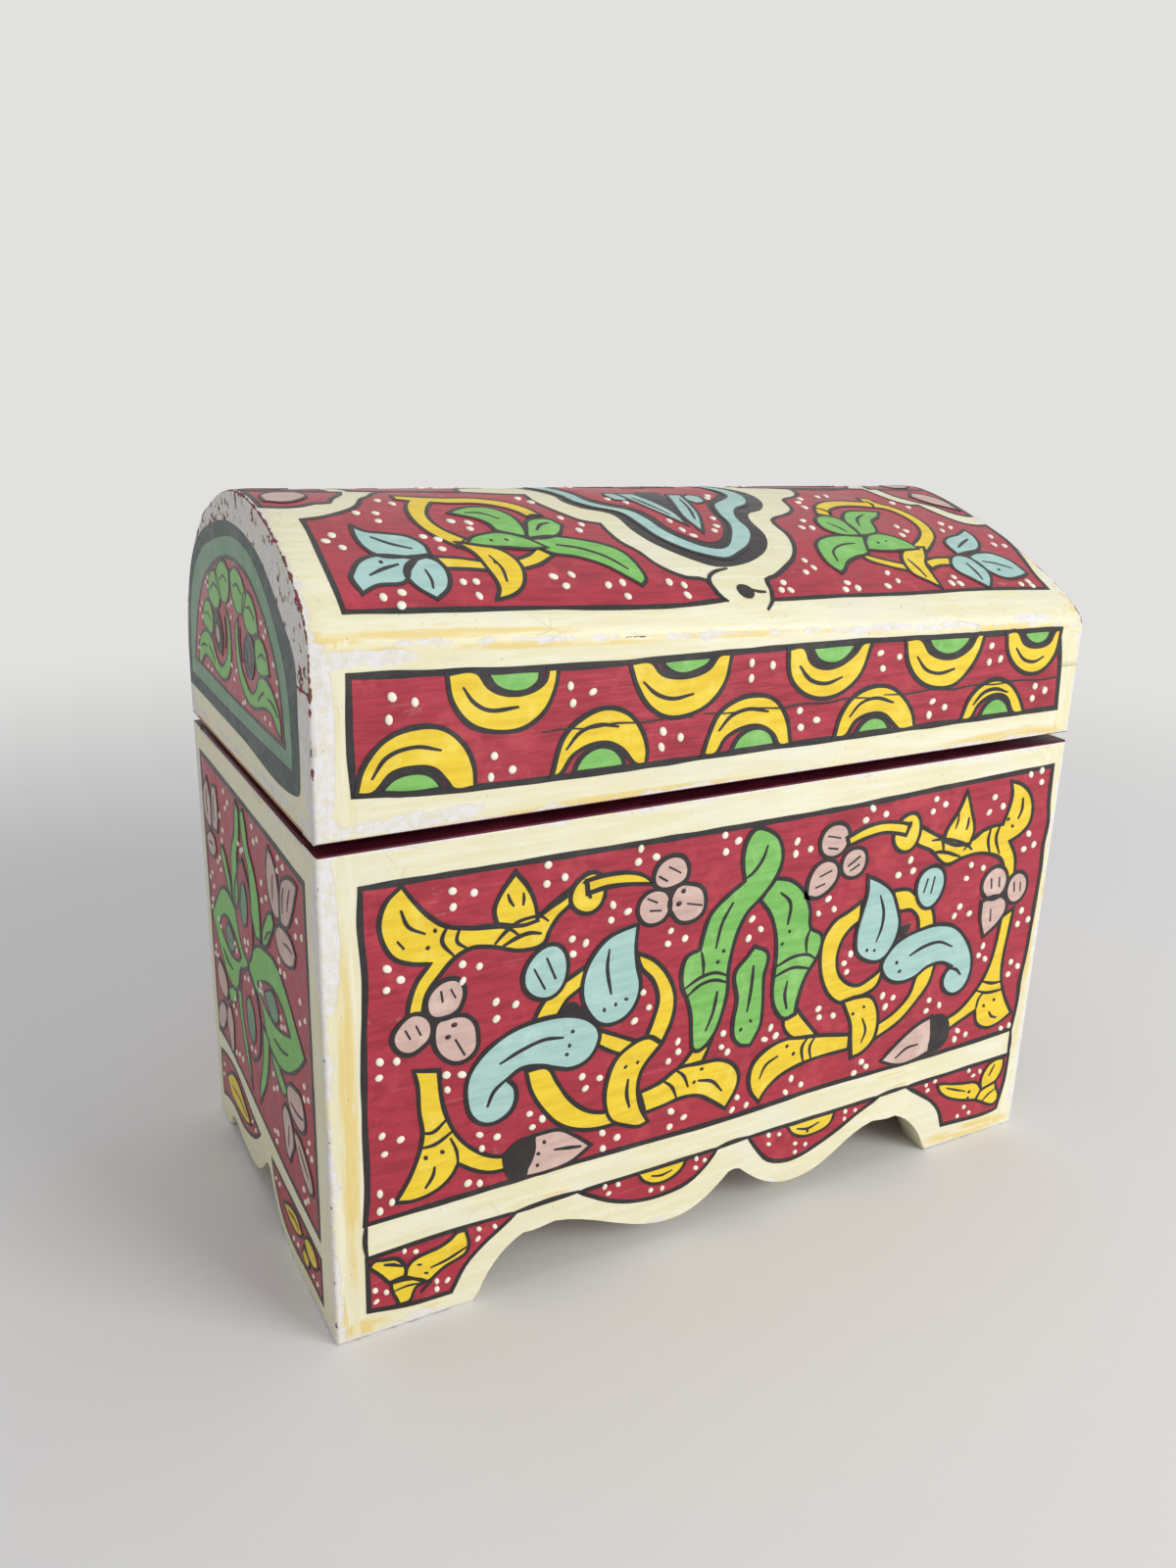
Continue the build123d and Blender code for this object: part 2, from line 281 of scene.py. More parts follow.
class Nodes:
    """A material's node tree, built by short calls."""

    def __init__(self, name):
        self.material = bpy.data.materials.new(name)
        self.material.use_nodes = True
        self.tree = self.material.node_tree
        self.shader = self.tree.nodes["Principled BSDF"]
        place = self.tree.nodes.new("ShaderNodeTexCoord")
        self.place = place.outputs["Object"]

    def new(self, kind, **settings):
        node = self.tree.nodes.new(kind)
        for key, value in settings.items():
            setattr(node, key, value)
        return node

    def link(self, source, target):
        if isinstance(source, (int, float, tuple, list)):
            target.default_value = source
        else:
            self.tree.links.new(source, target)

    def noise(self, scale, detail=3.0, rough=0.5, stretch=(1, 1, 1), shift=(0, 0, 0)):
        """Noise from 0 to 1 over the object's own place, in metres."""
        mapping = self.new("ShaderNodeMapping")
        mapping.inputs["Scale"].default_value = stretch
        mapping.inputs["Location"].default_value = shift
        self.link(self.place, mapping.inputs["Vector"])
        node = self.new("ShaderNodeTexNoise")
        node.inputs["Scale"].default_value = scale
        node.inputs["Detail"].default_value = detail
        node.inputs["Roughness"].default_value = rough
        self.link(mapping.outputs["Vector"], node.inputs["Vector"])
        return node.outputs["Fac"]

    def step(self, value, low, high, out_low=0.0, out_high=1.0):
        """The value spread smoothly from low..high to out_low..out_high."""
        node = self.new("ShaderNodeMapRange", interpolation_type="SMOOTHSTEP")
        self.link(value, node.inputs["Value"])
        for key, number in (
            ("From Min", low),
            ("From Max", high),
            ("To Min", out_low),
            ("To Max", out_high),
        ):
            node.inputs[key].default_value = number
        return node.outputs["Result"]

    def math(self, operation, a, b=0.0, clamp=False):
        node = self.new("ShaderNodeMath", operation=operation, use_clamp=clamp)
        self.link(a, node.inputs[0])
        self.link(b, node.inputs[1])
        return node.outputs[0]

    def mix(self, share, a, b):
        node = self.new("ShaderNodeMix", data_type="RGBA")
        self.link(share, node.inputs[0])
        self.link(a, node.inputs[6])
        self.link(b, node.inputs[7])
        return node.outputs[2]

    def bump(self, height, strength, distance, onto=None):
        node = self.new("ShaderNodeBump")
        node.inputs["Strength"].default_value = strength
        node.inputs["Distance"].default_value = distance
        self.link(height, node.inputs["Height"])
        if onto is not None:
            self.link(onto, node.inputs["Normal"])
        return node.outputs["Normal"]

    def separate(self, vector):
        node = self.new("ShaderNodeSeparateXYZ")
        self.link(vector, node.inputs[0])
        return node.outputs

    def finish(self, colour, rough, normal=None, **plain):
        self.link(colour, self.shader.inputs["Base Color"])
        self.link(rough, self.shader.inputs["Roughness"])
        if normal is not None:
            self.link(normal, self.shader.inputs["Normal"])
        for key, value in plain.items():
            self.shader.inputs[key.replace("_", " ")].default_value = value
        return self.material


# How far a point is from the chest's worn edges, in millimetres
lean_of_arris = (arch_right[0][1] - arch_left[0][1]) / width
arris_middle = (arch_right[0][1] + arch_left[0][1]) / 2
middle_y = front_y + depth / 2
seam_middle = (body_height + lid_base) / 2
seam_half = 1.2
arris_reach = 7
dome_foot = 4

# Places of the wear: (x from the left, height, half length, half height). Heights on the arris are from it
arris_white = ((12, -3.4, 15, 2.6), (201, 1.8, 8, 1.3), (150, 0.6, 7, 0.8), (172, 0.8, 5, 0.7))
arris_gold = ((34, 1.8, 34, 1.1), (44, -1.0, 44, 1.0), (112, -0.2, 40, 0.9), (196, -0.6, 26, 1.2))
arris_chips = ((76, -0.4, 5, 0.8), (120, 0.7, 5, 0.7), (158, 0.9, 3, 0.5))
face_white = (
    (2, 150, 4, 22),
    (18, 132.4, 26, 3),
    (2, 108, 3, 18),
    (88, 6.6, 8, 1.8),
    (129, 7.6, 9, 1.8),
    (196, 127.6, 14, 0.8),
)
face_gold = (
    (70, 129.4, 46, 1.3),
    (36, 126.9, 20, 0.8),
    (196, 129.6, 24, 2.4),
    (7, 3, 7, 2.6),
    (201, 3, 19, 2.6),
    (5, 60, 2.4, 50),
    (216.6, 70, 1.6, 46),
)


def patches(n, x, height, places):
    """How much a point belongs to one of the worn places, from 0 to 1 in their middles."""
    total = 0.0
    for centre, middle, long, high in places:
        across = n.math("DIVIDE", n.math("SUBTRACT", x, centre + left_x), long)
        up = n.math("DIVIDE", n.math("SUBTRACT", height, middle), high)
        far = n.math("ADD", n.math("MULTIPLY", across, across), n.math("MULTIPLY", up, up))
        total = n.math("MAXIMUM", total, n.step(far, 0.25, 1.3, 1, 0))
    return total


def worn_distance(n):
    """How far worn edges, upright corners and the dome's end are, then x, z and the height over the arris."""
    scaled = n.new("ShaderNodeVectorMath", operation="SCALE")
    scaled.inputs["Scale"].default_value = 1 / MM
    n.link(n.place, scaled.inputs[0])
    x, y, z = n.separate(scaled.outputs[0])
    from_end = n.math("SUBTRACT", width / 2, n.math("ABSOLUTE", x))
    from_face = n.math("SUBTRACT", depth / 2, n.math("ABSOLUTE", n.math("SUBTRACT", y, middle_y)))
    corner = n.math("MAXIMUM", from_end, from_face)
    seam = n.math("SUBTRACT", n.math("ABSOLUTE", n.math("SUBTRACT", z, seam_middle)), seam_half)
    seam = n.math("MAXIMUM", n.math("MULTIPLY", seam, 1.6), n.math("MINIMUM", from_end, from_face))
    arris_z = n.math("ADD", n.math("MULTIPLY", x, lean_of_arris), arris_middle)
    over = n.math("SUBTRACT", z, arris_z)
    arris = n.math("ADD", n.math("MULTIPLY", n.math("ABSOLUTE", over), 1.3), 1.2)
    arris = n.math("MAXIMUM", arris, n.math("SUBTRACT", y, front_y + arris_reach))
    above = n.math("MULTIPLY", n.math("SUBTRACT", arris_middle - dome_foot, z), 0.8)
    dome = n.math("MAXIMUM", from_end, above)
    near = n.math("MINIMUM", n.math("MINIMUM", corner, z), n.math("MINIMUM", seam, arris))
    return n.math("MAXIMUM", n.math("MINIMUM", near, dome), 0.0), corner, dome, x, z, over


def border_paint():
    """Cream border paint, yellowed in streaks and worn through to the white ground and the wood."""
    n = Nodes("cream_paint")
    edge, corner, dome, x, z, over = worn_distance(n)
    streak = n.noise(420, 3, 0.6, (0.1, 1, 1))
    upright = n.noise(420, 3, 0.6, (1, 1, 0.1), (3, 1, 2))
    cloud = n.noise(28, 3, 0.55, shift=(1, 5, 2))
    beside = n.step(n.math("MAXIMUM", corner, n.math("SUBTRACT", z, lid_base + 34)), 8, 10)
    along = n.math("MULTIPLY", streak, beside)
    brushed = n.math("ADD", along, n.math("MULTIPLY", upright, n.math("SUBTRACT", 1.0, beside)))
    cream = n.mix(n.step(brushed, 0.38, 0.66), srgb(234, 227, 188), srgb(240, 236, 208))
    cream = n.mix(n.step(cloud, 0.5, 0.72, 0, 0.5), cream, srgb(233, 232, 218))
    # Yellow showing through in streaks, most of it along the edges
    pull = n.math("MULTIPLY", n.step(edge, 0.5, 7), 0.13)
    gold = n.step(n.math("SUBTRACT", brushed, pull), 0.47, 0.6)
    gold = n.math("MULTIPLY", gold, n.step(n.noise(38, 3, 0.6, shift=(7, 2, 4)), 0.45, 0.62))
    laid = n.math("MAXIMUM", patches(n, x, over, arris_gold), patches(n, x, z, face_gold))
    laid = n.math("MULTIPLY", laid, n.step(brushed, 0.36, 0.52))
    gold = n.math("MAXIMUM", gold, laid)
    colour = n.mix(n.math("MULTIPLY", gold, 0.8), cream, srgb(231, 203, 112))
    # The white ground where the paint is rubbed through, and wood where it is chipped
    bared = n.math("MAXIMUM", patches(n, x, over, arris_white), patches(n, x, z, face_white))
    rub = n.math("SUBTRACT", n.math("MULTIPLY", n.noise(95, 6, 0.7), 9.5), edge)
    rub = n.math("ADD", rub, n.math("MULTIPLY", bared, 5.4))
    left_on = n.step(n.noise(330, 4, 0.65, (0.5, 1, 1), (5, 2, 8)), 0.5, 0.66, 0, 1.5)
    white = n.step(n.math("SUBTRACT", rub, left_on), 2.9, 3.8)
    dusty = n.step(n.noise(520, 4, 0.7, shift=(1, 8, 8)), 0.4, 0.64)
    chalk = n.mix(dusty, srgb(233, 231, 234), srgb(226, 219, 204))
    colour = n.mix(n.math("MULTIPLY", white, 0.88), colour, chalk)
    chipped = n.math("MULTIPLY", n.noise(300, 4, 0.65, shift=(4, 9, 1)), 5.4)
    chipped = n.math("SUBTRACT", chipped, n.step(n.noise(18, 2, shift=(3, 3, 3)), 0.42, 0.6, 0.5, 0))
    chipped = n.math("SUBTRACT", chipped, n.math("MULTIPLY", edge, 1.7))
    chipped = n.math("ADD", chipped, n.math("MULTIPLY", patches(n, x, over, arris_chips), 2.6))
    on_edge = n.math("MULTIPLY", n.step(dome, 0.0, 0.2), n.step(dome, 0.5, 2.6, 1.35, 0))
    chipped = n.math("ADD", chipped, on_edge)
    chip = n.step(chipped, 2.62, 2.86)
    wood = n.mix(n.step(n.noise(420, 3, shift=(6, 6, 1)), 0.42, 0.58), srgb(116, 84, 62), srgb(150, 62, 78))
    colour = n.mix(chip, colour, wood)
    # Hair cracks and grime in the ground
    cracks = n.new("ShaderNodeTexVoronoi", feature="DISTANCE_TO_EDGE")
    cracks.inputs["Scale"].default_value = 210
    bent = n.new("ShaderNodeMapping")
    bent.inputs["Scale"].default_value = (0.55, 1, 1)
    n.link(n.place, bent.inputs["Vector"])
    n.link(bent.outputs["Vector"], cracks.inputs["Vector"])
    crack = n.step(cracks.outputs["Distance"], 0.0, 0.03, 1, 0)
    crack = n.math("MULTIPLY", crack, n.step(n.noise(42, 3, shift=(2, 2, 9)), 0.56, 0.7, 0, 0.24))
    colour = n.mix(crack, colour, srgb(160, 148, 118))
    specks = n.step(n.noise(1150, 2, 0.5, shift=(5, 5, 5)), 0.69, 0.74, 0, 0.6)
    colour = n.mix(specks, colour, srgb(172, 150, 110))
    relief = n.math("SUBTRACT", n.math("MULTIPLY", brushed, 0.6), n.math("MULTIPLY", white, 0.2))
    relief = n.math("SUBTRACT", relief, n.math("MULTIPLY", chip, 0.6))
    relief = n.math("SUBTRACT", relief, n.math("MULTIPLY", crack, 0.6))
    normal = n.bump(relief, 0.6, 0.0005)
    worn = n.math("MULTIPLY", n.math("ADD", white, chip), 0.2)
    rough = n.math("ADD", n.step(brushed, 0.3, 0.7, 0.38, 0.52), worn)
    return n.finish(colour, rough, normal)


def brushed_paint(name, low, middle, high, sheen=0.36, wear=0.0, relief_depth=0.0002):
    """Glossy brushed paint in three close shades, with thin places and a little relief from the bristles."""
    n = Nodes(name)
    streak = n.noise(560, 3, 0.6, (0.14, 1, 1))
    cloud = n.noise(60, 4, 0.6, shift=(2, 4, 8))
    pooled = n.noise(240, 3, 0.6, shift=(9, 3, 1))
    colour = n.mix(n.step(streak, 0.26, 0.66), srgb(*low), srgb(*middle))
    thick = n.step(n.math("MULTIPLY", n.math("ADD", cloud, pooled), 0.5), 0.5, 0.66, 0, 0.8)
    colour = n.mix(thick, colour, srgb(*high))
    if wear:
        rubbed = n.step(n.noise(150, 5, 0.7, (0.5, 1, 1), (6, 1, 3)), 0.66, 0.72, 0, wear)
        colour = n.mix(rubbed, colour, srgb(226, 206, 186))
        scratch = n.step(n.noise(900, 2, 0.5, (0.05, 1, 1), (8, 8, 2)), 0.7, 0.74, 0, wear * 0.8)
        colour = n.mix(scratch, colour, srgb(206, 150, 140))
    grain = n.noise(1500, 2, 0.5, (0.1, 1, 1), (1, 1, 7))
    relief = n.math("ADD", n.math("MULTIPLY", streak, 0.6), n.math("MULTIPLY", grain, 0.4))
    normal = n.bump(relief, 0.35, relief_depth)
    rough = n.step(n.math("MULTIPLY", n.math("ADD", streak, cloud), 0.5), 0.35, 0.65, sheen, sheen + 0.16)
    return n.finish(colour, rough, normal)


def plain_wood(name, light, dark, grain=0):
    """Bare wood with its grain along one axis."""
    n = Nodes(name)

    def drawn_out(share):
        return tuple(share if axis == grain else 1 for axis in range(3))

    warp = n.noise(14, 3, 0.5, drawn_out(0.3))
    rings = n.noise(210, 4, 0.6, drawn_out(0.045))
    pores = n.noise(1400, 2, 0.6, drawn_out(0.03), (2, 2, 2))
    figure = n.math("ADD", n.math("MULTIPLY", warp, 0.4), n.math("MULTIPLY", rings, 0.6))
    colour = n.mix(n.step(figure, 0.4, 0.6), srgb(*light), srgb(*dark))
    colour = n.mix(n.step(pores, 0.58, 0.7, 0, 0.5), colour, srgb(96, 64, 40))
    stain = n.step(n.noise(22, 4, 0.6, shift=(4, 4, 4)), 0.5, 0.7, 0, 0.35)
    colour = n.mix(stain, colour, srgb(128, 94, 62))
    normal = n.bump(n.math("ADD", rings, n.math("MULTIPLY", pores, 0.5)), 0.3, 0.0003)
    return n.finish(colour, n.step(rings, 0.3, 0.7, 0.55, 0.72), normal)


def aged_metal(name, bright, dull, rough_low, rough_high):
    """Metal with a dull film and fine scratches."""
    n = Nodes(name)
    film = n.noise(260, 4, 0.65)
    scratch = n.noise(2200, 2, 0.5, (0.08, 1, 1))
    colour = n.mix(n.step(film, 0.42, 0.64), srgb(*bright), srgb(*dull))
    rough = n.step(n.math("MULTIPLY", n.math("ADD", film, scratch), 0.5), 0.35, 0.65, rough_low, rough_high)
    return n.finish(colour, rough, n.bump(scratch, 0.2, 0.0001), Metallic=1.0)


cream_paint = border_paint()
burgundy_shades = ((148, 32, 50), (176, 43, 62), (190, 62, 74))
burgundy_paint = brushed_paint("burgundy_paint", *burgundy_shades, sheen=0.28, wear=0.16, relief_depth=0.0005)
# The rims' dark burgundy paint, made darker still to paint in the shade of the gap between lid and body
rim_paint_and_seam_shade = brushed_paint("dark_burgundy_paint_and_seam_shade", (70, 12, 30), (92, 18, 40), (120, 34, 56), 0.4, 0.2)
bare_wood = plain_wood("bare_wood", (204, 168, 120), (172, 130, 86))
end_wood = plain_wood("bare_wood_of_ends", (200, 163, 116), (168, 127, 84), 1)
brass = aged_metal("brass", (206, 170, 96), (150, 118, 66), 0.28, 0.5)
steel = aged_metal("steel", (150, 150, 154), (104, 100, 98), 0.35, 0.55)


# The painted boards
PAINTED, RIM, BARE = 0, 1, 2

# Faces smaller than these, in square millimetres, are roundings and are shaded smooth
small_face = 60
narrow_face = 250

# How near a face lies to the inside or to the rim, and how far it leans, to count as one of theirs
inner_spare = 0.5
rim_spare = 0.3
facing = 0.7
board_materials = [cream_paint, rim_paint_and_seam_shade, bare_wood]
side_materials = [cream_paint, rim_paint_and_seam_shade, end_wood]


def slab_between(outline, place, thickness):
    """A bmesh of the outline pushed back by a thickness, its outer face a coat proud."""
    bm = bmesh.new()
    front = [bm.verts.new(place(u, v, -coat)) for u, v in outline]
    back = [bm.verts.new(place(u, v, thickness)) for u, v in outline]
    bm.faces.new(front)
    bm.faces.new(back[::-1])
    count = len(outline)
    for i in range(count):
        j = (i + 1) % count
        bm.faces.new((front[j], front[i], back[i], back[j]))
    return bm, front, back


def round_over(bm, edges, offset):
    """The edges rounded over."""
    bmesh.ops.bevel(bm, geom=edges, offset=offset, segments=3, profile=0.5, affect="EDGES")


def board(name, node, outline, place, outer_edge, materials):
    """A board: its outline pushed back by its thickness, with its outer edges rounded over.

    place gives the point for (u, v, w), w in from the outer face; outer_edge says whether an edge
    of two such points is on the chest's outside."""
    bm, front, back = slab_between(outline, place, wall)
    local = {}
    for verts, w in ((front, -coat), (back, wall)):
        for vert, (u, v) in zip(verts, outline):
            local[vert] = (u, v, w)
    round_over(bm, [e for e in bm.edges if outer_edge(local[e.verts[0]], local[e.verts[1]])], edge_round)
    piece = from_bmesh(name, bm, "body", materials)
    for face in piece.data.polygons:
        face.use_smooth = face.area / MM / MM < small_face and len(face.vertices) == 4
        face.material_index = board_finish(Vector(face.center) / MM, face.normal)
    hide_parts(node)
    return piece


def board_finish(centre, normal):
    """Rims are dark burgundy, darker still as painted shade for the seam's gap; the faces that look into the
    chest are bare, and the rest is painted.
    """
    inside_x = left_x + wall - inner_spare < centre.x < right_x - wall + inner_spare
    inside_y = front_y + wall - inner_spare < centre.y < back_y - wall + inner_spare
    if centre.z > body_height - rim_spare and normal.z > facing:
        return RIM
    if inside_x and inside_y:
        return BARE
    return PAINTED


apron_steps = 10
front_outline = (
    [(0, 0), (0, body_height), (width, body_height), (width, 0)]
    + bezier_run(apron_right, apron_steps)
    + bezier_run(apron_left, apron_steps)[-2::-1]
)
side_outline = (
    [(wall, 0), (wall, body_height), (depth - wall, body_height), (depth - wall, 0)]
    + bezier_run(side_apron, apron_steps)[::-1]
)


def front_edges(a, b):
    """The front and back boards' outer edges: those of the outer face, and at the ends of the foot."""
    on_face = a[2] < 0 and b[2] < 0
    foot_end = a[0] == b[0] and a[0] in (0, width) and a[1] == 0 == b[1]
    return on_face or foot_end


def side_edges(a, b):
    """The side boards' outer edges: along the rim and the apron, but not where they meet the others."""
    on_face = a[2] < 0 and b[2] < 0
    return on_face and not (a[0] == b[0] and a[0] in (wall, depth - wall))


def stretched(u):
    """An x a coat outside the chest where it is at an end."""
    if u <= 0:
        return u - coat
    if u >= width:
        return u + coat
    return u


def front_place(u, v, w):
    return (left_x + stretched(u), front_y + w, v)


def back_place(u, v, w):
    return (left_x + stretched(u), back_y - w, v)


def left_place(u, v, w):
    return (left_x + w, front_y + u, v)


def right_place(u, v, w):
    return (right_x - w, front_y + u, v)


board("front_board_painted", "front_board", front_outline, front_place, front_edges, board_materials)
back_board = board(
    "back_board_painted", "back_board", front_outline, back_place, front_edges, board_materials
)
board("left_side_board_painted", "left_side_board", side_outline, left_place, side_edges, side_materials)
board("right_side_board_painted", "right_side_board", side_outline, right_place, side_edges, side_materials)


# The lid's painted wood: points up to the dome's arris and over its arch, and slices along the lid
upright_steps = 6
arch_points = 60
slices = 45


def lid_section(x, inset):
    """Points of the dome at x, brought in by inset as the part's skin is."""
    crown = crown_left + (crown_right - crown_left) * x / width
    across = (depth - 2 * inset) / depth
    up = (crown - inset - lid_base) / (crown - lid_base)
    out = []
    for i in range(arch_points + 1):
        y, z = arch_at(x, i / arch_points)
        out.append((inset + y * across, lid_base + (z - lid_base) * up))
    return out


def rounded(points, corner, radius, steps):
    """A path with the point at that index rounded over."""
    a, b = Vector(points[corner - 1]), Vector(points[corner])
    start = b + (a - b).normalized() * radius
    after = corner + 1
    while after < len(points) - 1 and (Vector(points[after]) - b).length < radius:
        after += 1
    end = b + (Vector(points[after]) - b).normalized() * radius
    controls = (start, start.lerp(b, 0.6), end.lerp(b, 0.6), end)
    curve = [bezier(*controls, k / steps) for k in range(steps + 1)]
    return points[:corner] + curve + points[after:]


def dome_path(x, inset):
    """The staves' outer or inner path at x, from the rail's top at the front to its top at the back."""
    arch = lid_section(x, inset)
    y, z = arch[0]
    upright = [(y, rail_top + (z - rail_top) * k / upright_steps) for k in range(upright_steps)]
    points = upright + [point for point in arch if point[1] >= rail_top]
    return points + [(arch[-1][0], rail_top)]


def resampled(points, count):
    """The path with this many points, evenly spread over its own points."""
    out = []
    for i in range(count):
        at = i * (len(points) - 1) / (count - 1)
        low = min(int(at), len(points) - 2)
        a, b = Vector(points[low]), Vector(points[low + 1])
        out.append(a.lerp(b, at - low))
    return out


def dome_shell():
    """The staves as one painted shell, with its arris and its end edges rounded over."""
    verts, faces, index = [], [], []
    stations = [width * (k / (slices - 1)) for k in range(slices)]
    outer_rows = [rounded(dome_path(x, 0), upright_steps, arris_round, 5) for x in stations]
    inner_rows = [dome_path(x, lid_wall) for x in stations]
    count = min(len(row) for row in outer_rows + inner_rows)
    for rows, lift in ((outer_rows, coat), (inner_rows, 0.0)):
        for x, row in zip(stations, rows):
            points = resampled(row, count) if len(row) != count else [Vector(p) for p in row]
            for i, point in enumerate(points):
                before = points[max(i - 1, 0)]
                after = points[min(i + 1, count - 1)]
                along = (after - before).normalized()
                out = Vector((-along.y, along.x))
                place = point + out * lift
                verts.append((left_x + stretched(x), front_y + place.x, place.y))
    inner_start = slices * count

    def at(row, i, inner=False):
        return row * count + i + (inner_start if inner else 0)

    for row in range(slices - 1):
        for i in range(count - 1):
            corners = ((row, i), (row + 1, i), (row + 1, i + 1), (row, i + 1))
            faces.append(tuple(at(*corner) for corner in corners))
            index.append(PAINTED)
            faces.append(tuple(at(*corners[k], True) for k in (0, 3, 2, 1)))
            index.append(BARE)
        for i in (0, count - 1):
            low, high = at(row, i), at(row, i, True)
            low_next, high_next = at(row + 1, i), at(row + 1, i, True)
            faces.append((low, high, high_next, low_next) if i == 0 else (low, low_next, high_next, high))
            index.append(BARE)
    for row in (0, slices - 1):
        for i in range(count - 1):
            quad = (at(row, i), at(row, i + 1), at(row, i + 1, True), at(row, i, True))
            faces.append(quad if row == 0 else quad[::-1])
            index.append(PAINTED)
    piece = make("dome_staves_painted", verts, faces, "lid", board_materials, index)
    bm = bmesh.new()
    bm.from_mesh(piece.data)
    bmesh.ops.recalc_face_normals(bm, faces=bm.faces)
    ends = [
        e
        for e in bm.edges
        if len(e.link_faces) == 2
        and {f.material_index for f in e.link_faces} == {PAINTED}
        and abs(e.verts[0].co.x - e.verts[1].co.x) < 1e-7
        and min(abs(e.verts[0].co.x / MM - x) for x in (left_x - coat, right_x + coat)) < 1e-3
        and e.calc_face_angle(0) > 1
    ]
    round_over(bm, ends, edge_round * MM)
    bm.to_mesh(piece.data)
    bm.free()
    end_facing = 0.98
    for face in piece.data.polygons:
        face.use_smooth = abs(face.normal.x) < end_facing
    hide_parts("lid_stave_1", "lid_stave_2", "lid_stave_3", "lid_stave_4", "lid_stave_5")


dome_shell()


def rail(name, node, side):
    """A rail of the lid, on the front (side 1) or the back (side -1), with rounded ends and lower edge."""
    corners = [(0, lid_base), (0, rail_top), (width, rail_top), (width, lid_base)]
    bm, front, _ = slab_between(corners, front_place if side > 0 else back_place, lid_wall)
    chosen = [
        e
        for e in bm.edges
        if e.verts[0] in front and e.verts[1] in front and not all(v.co.z > rail_top - 0.1 for v in e.verts)
    ]
    round_over(bm, chosen, edge_round)
    piece = from_bmesh(name, bm, "lid", board_materials)
    for face in piece.data.polygons:
        face.use_smooth = face.area / MM / MM < narrow_face
        # The rail's lower edge takes the rim paint, with its painted shade of the seam's gap
        if face.normal.z < -facing:
            face.material_index = RIM
        elif side * face.normal.y > facing:
            face.material_index = BARE
    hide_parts(node)
    return piece


rail("front_rail_painted", "lid_front_rail", 1)
back_rail = rail("back_rail_painted", "lid_back_rail", -1)

# The room for the hinges' barrels, cut from the back board and the back rail
groove_radius = 2.1
groove_spare = 0.3
for side in ("left", "right"):
    low, high = (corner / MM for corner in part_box(f"{side}_hinge_pin"))
    groove = bmesh.new()
    bmesh.ops.create_cone(
        groove,
        cap_ends=True,
        segments=40,
        radius1=groove_radius * MM,
        radius2=groove_radius * MM,
        depth=(high.x - low.x + 2 * groove_spare) * MM,
        matrix=Matrix.Translation((low + high) / 2 * MM) @ Matrix.Rotation(math.pi / 2, 4, "Y"),
    )
    groove_mesh = bpy.data.meshes.new("groove")
    groove.to_mesh(groove_mesh)
    groove.free()
    cutter = bpy.data.objects.new("groove", groove_mesh)
    into_scene(cutter)
    for piece in (back_board, back_rail):
        cut = piece.modifiers.new("groove", "BOOLEAN")
        cut.operation = "DIFFERENCE"
        cut.solver = "EXACT"
        cut.object = cutter
        bpy.context.view_layer.update()
        evaluated = piece.evaluated_get(bpy.context.evaluated_depsgraph_get())
        carved = bpy.data.meshes.new_from_object(evaluated)
        piece.modifiers.clear()
        piece.data = carved
    bpy.data.objects.remove(cutter)


# Painting: thin films of paint over a face
def path(text):
    """Points from text: 'u v, u v, ...'."""
    return [tuple(float(n) for n in pair.split()) for pair in text.split(",")]


def curve_through(points, closed, step=1.2, corner=62.0):
    """A smooth line through the points, sharp where it turns by more than the corner angle."""
    count = len(points)
    if count < 3:
        return [Vector(p) for p in points]
    places = [Vector(p) for p in points]

    def direction(i):
        """The way through point i, or None at a corner."""
        if not closed and i in (0, count - 1):
            return None
        a = (places[i] - places[i - 1]).normalized()
        b = (places[(i + 1) % count] - places[i]).normalized()
        if a.angle(b, 0) > math.radians(corner):
            return None
        return (a + b).normalized()

    ways = [direction(i) for i in range(count)]
    out = []
    for i in range(count if closed else count - 1):
        a, b = places[i], places[(i + 1) % count]
        chord = (b - a).length
        start = ways[i] or (b - a).normalized()
        end = ways[(i + 1) % count] or (b - a).normalized()
        pieces = max(1, math.ceil(chord / step))
        for k in range(pieces):
            t = k / pieces
            out.append(Vector(bezier(a, a + start * chord / 3, b - end * chord / 3, b, t)))
    if not closed:
        out.append(places[-1])
    return out


# How far each coat of paint stands off the wood, and the relief between shapes at one level
panel_lift = 0.2
level_lift = {0: 0.27, 1: 0.35, 2: 0.43}
line_lift = 0.045
stroke_lift = 0.025
blob_lift = 0.03
dot_lift = 0.62
sunk = 0.02
border_lift = 0.02
relief_step = 0.004
relief_count = 5

# How the brush draws: widths, how far they wander, and how a line thins over the points at its free ends
line_width = 1.15
wander_share = 0.3
wander_scale = 0.12
taper = 0.55
tapered_points = 4
mitre_limit = 1.5
dot_size = 1.0


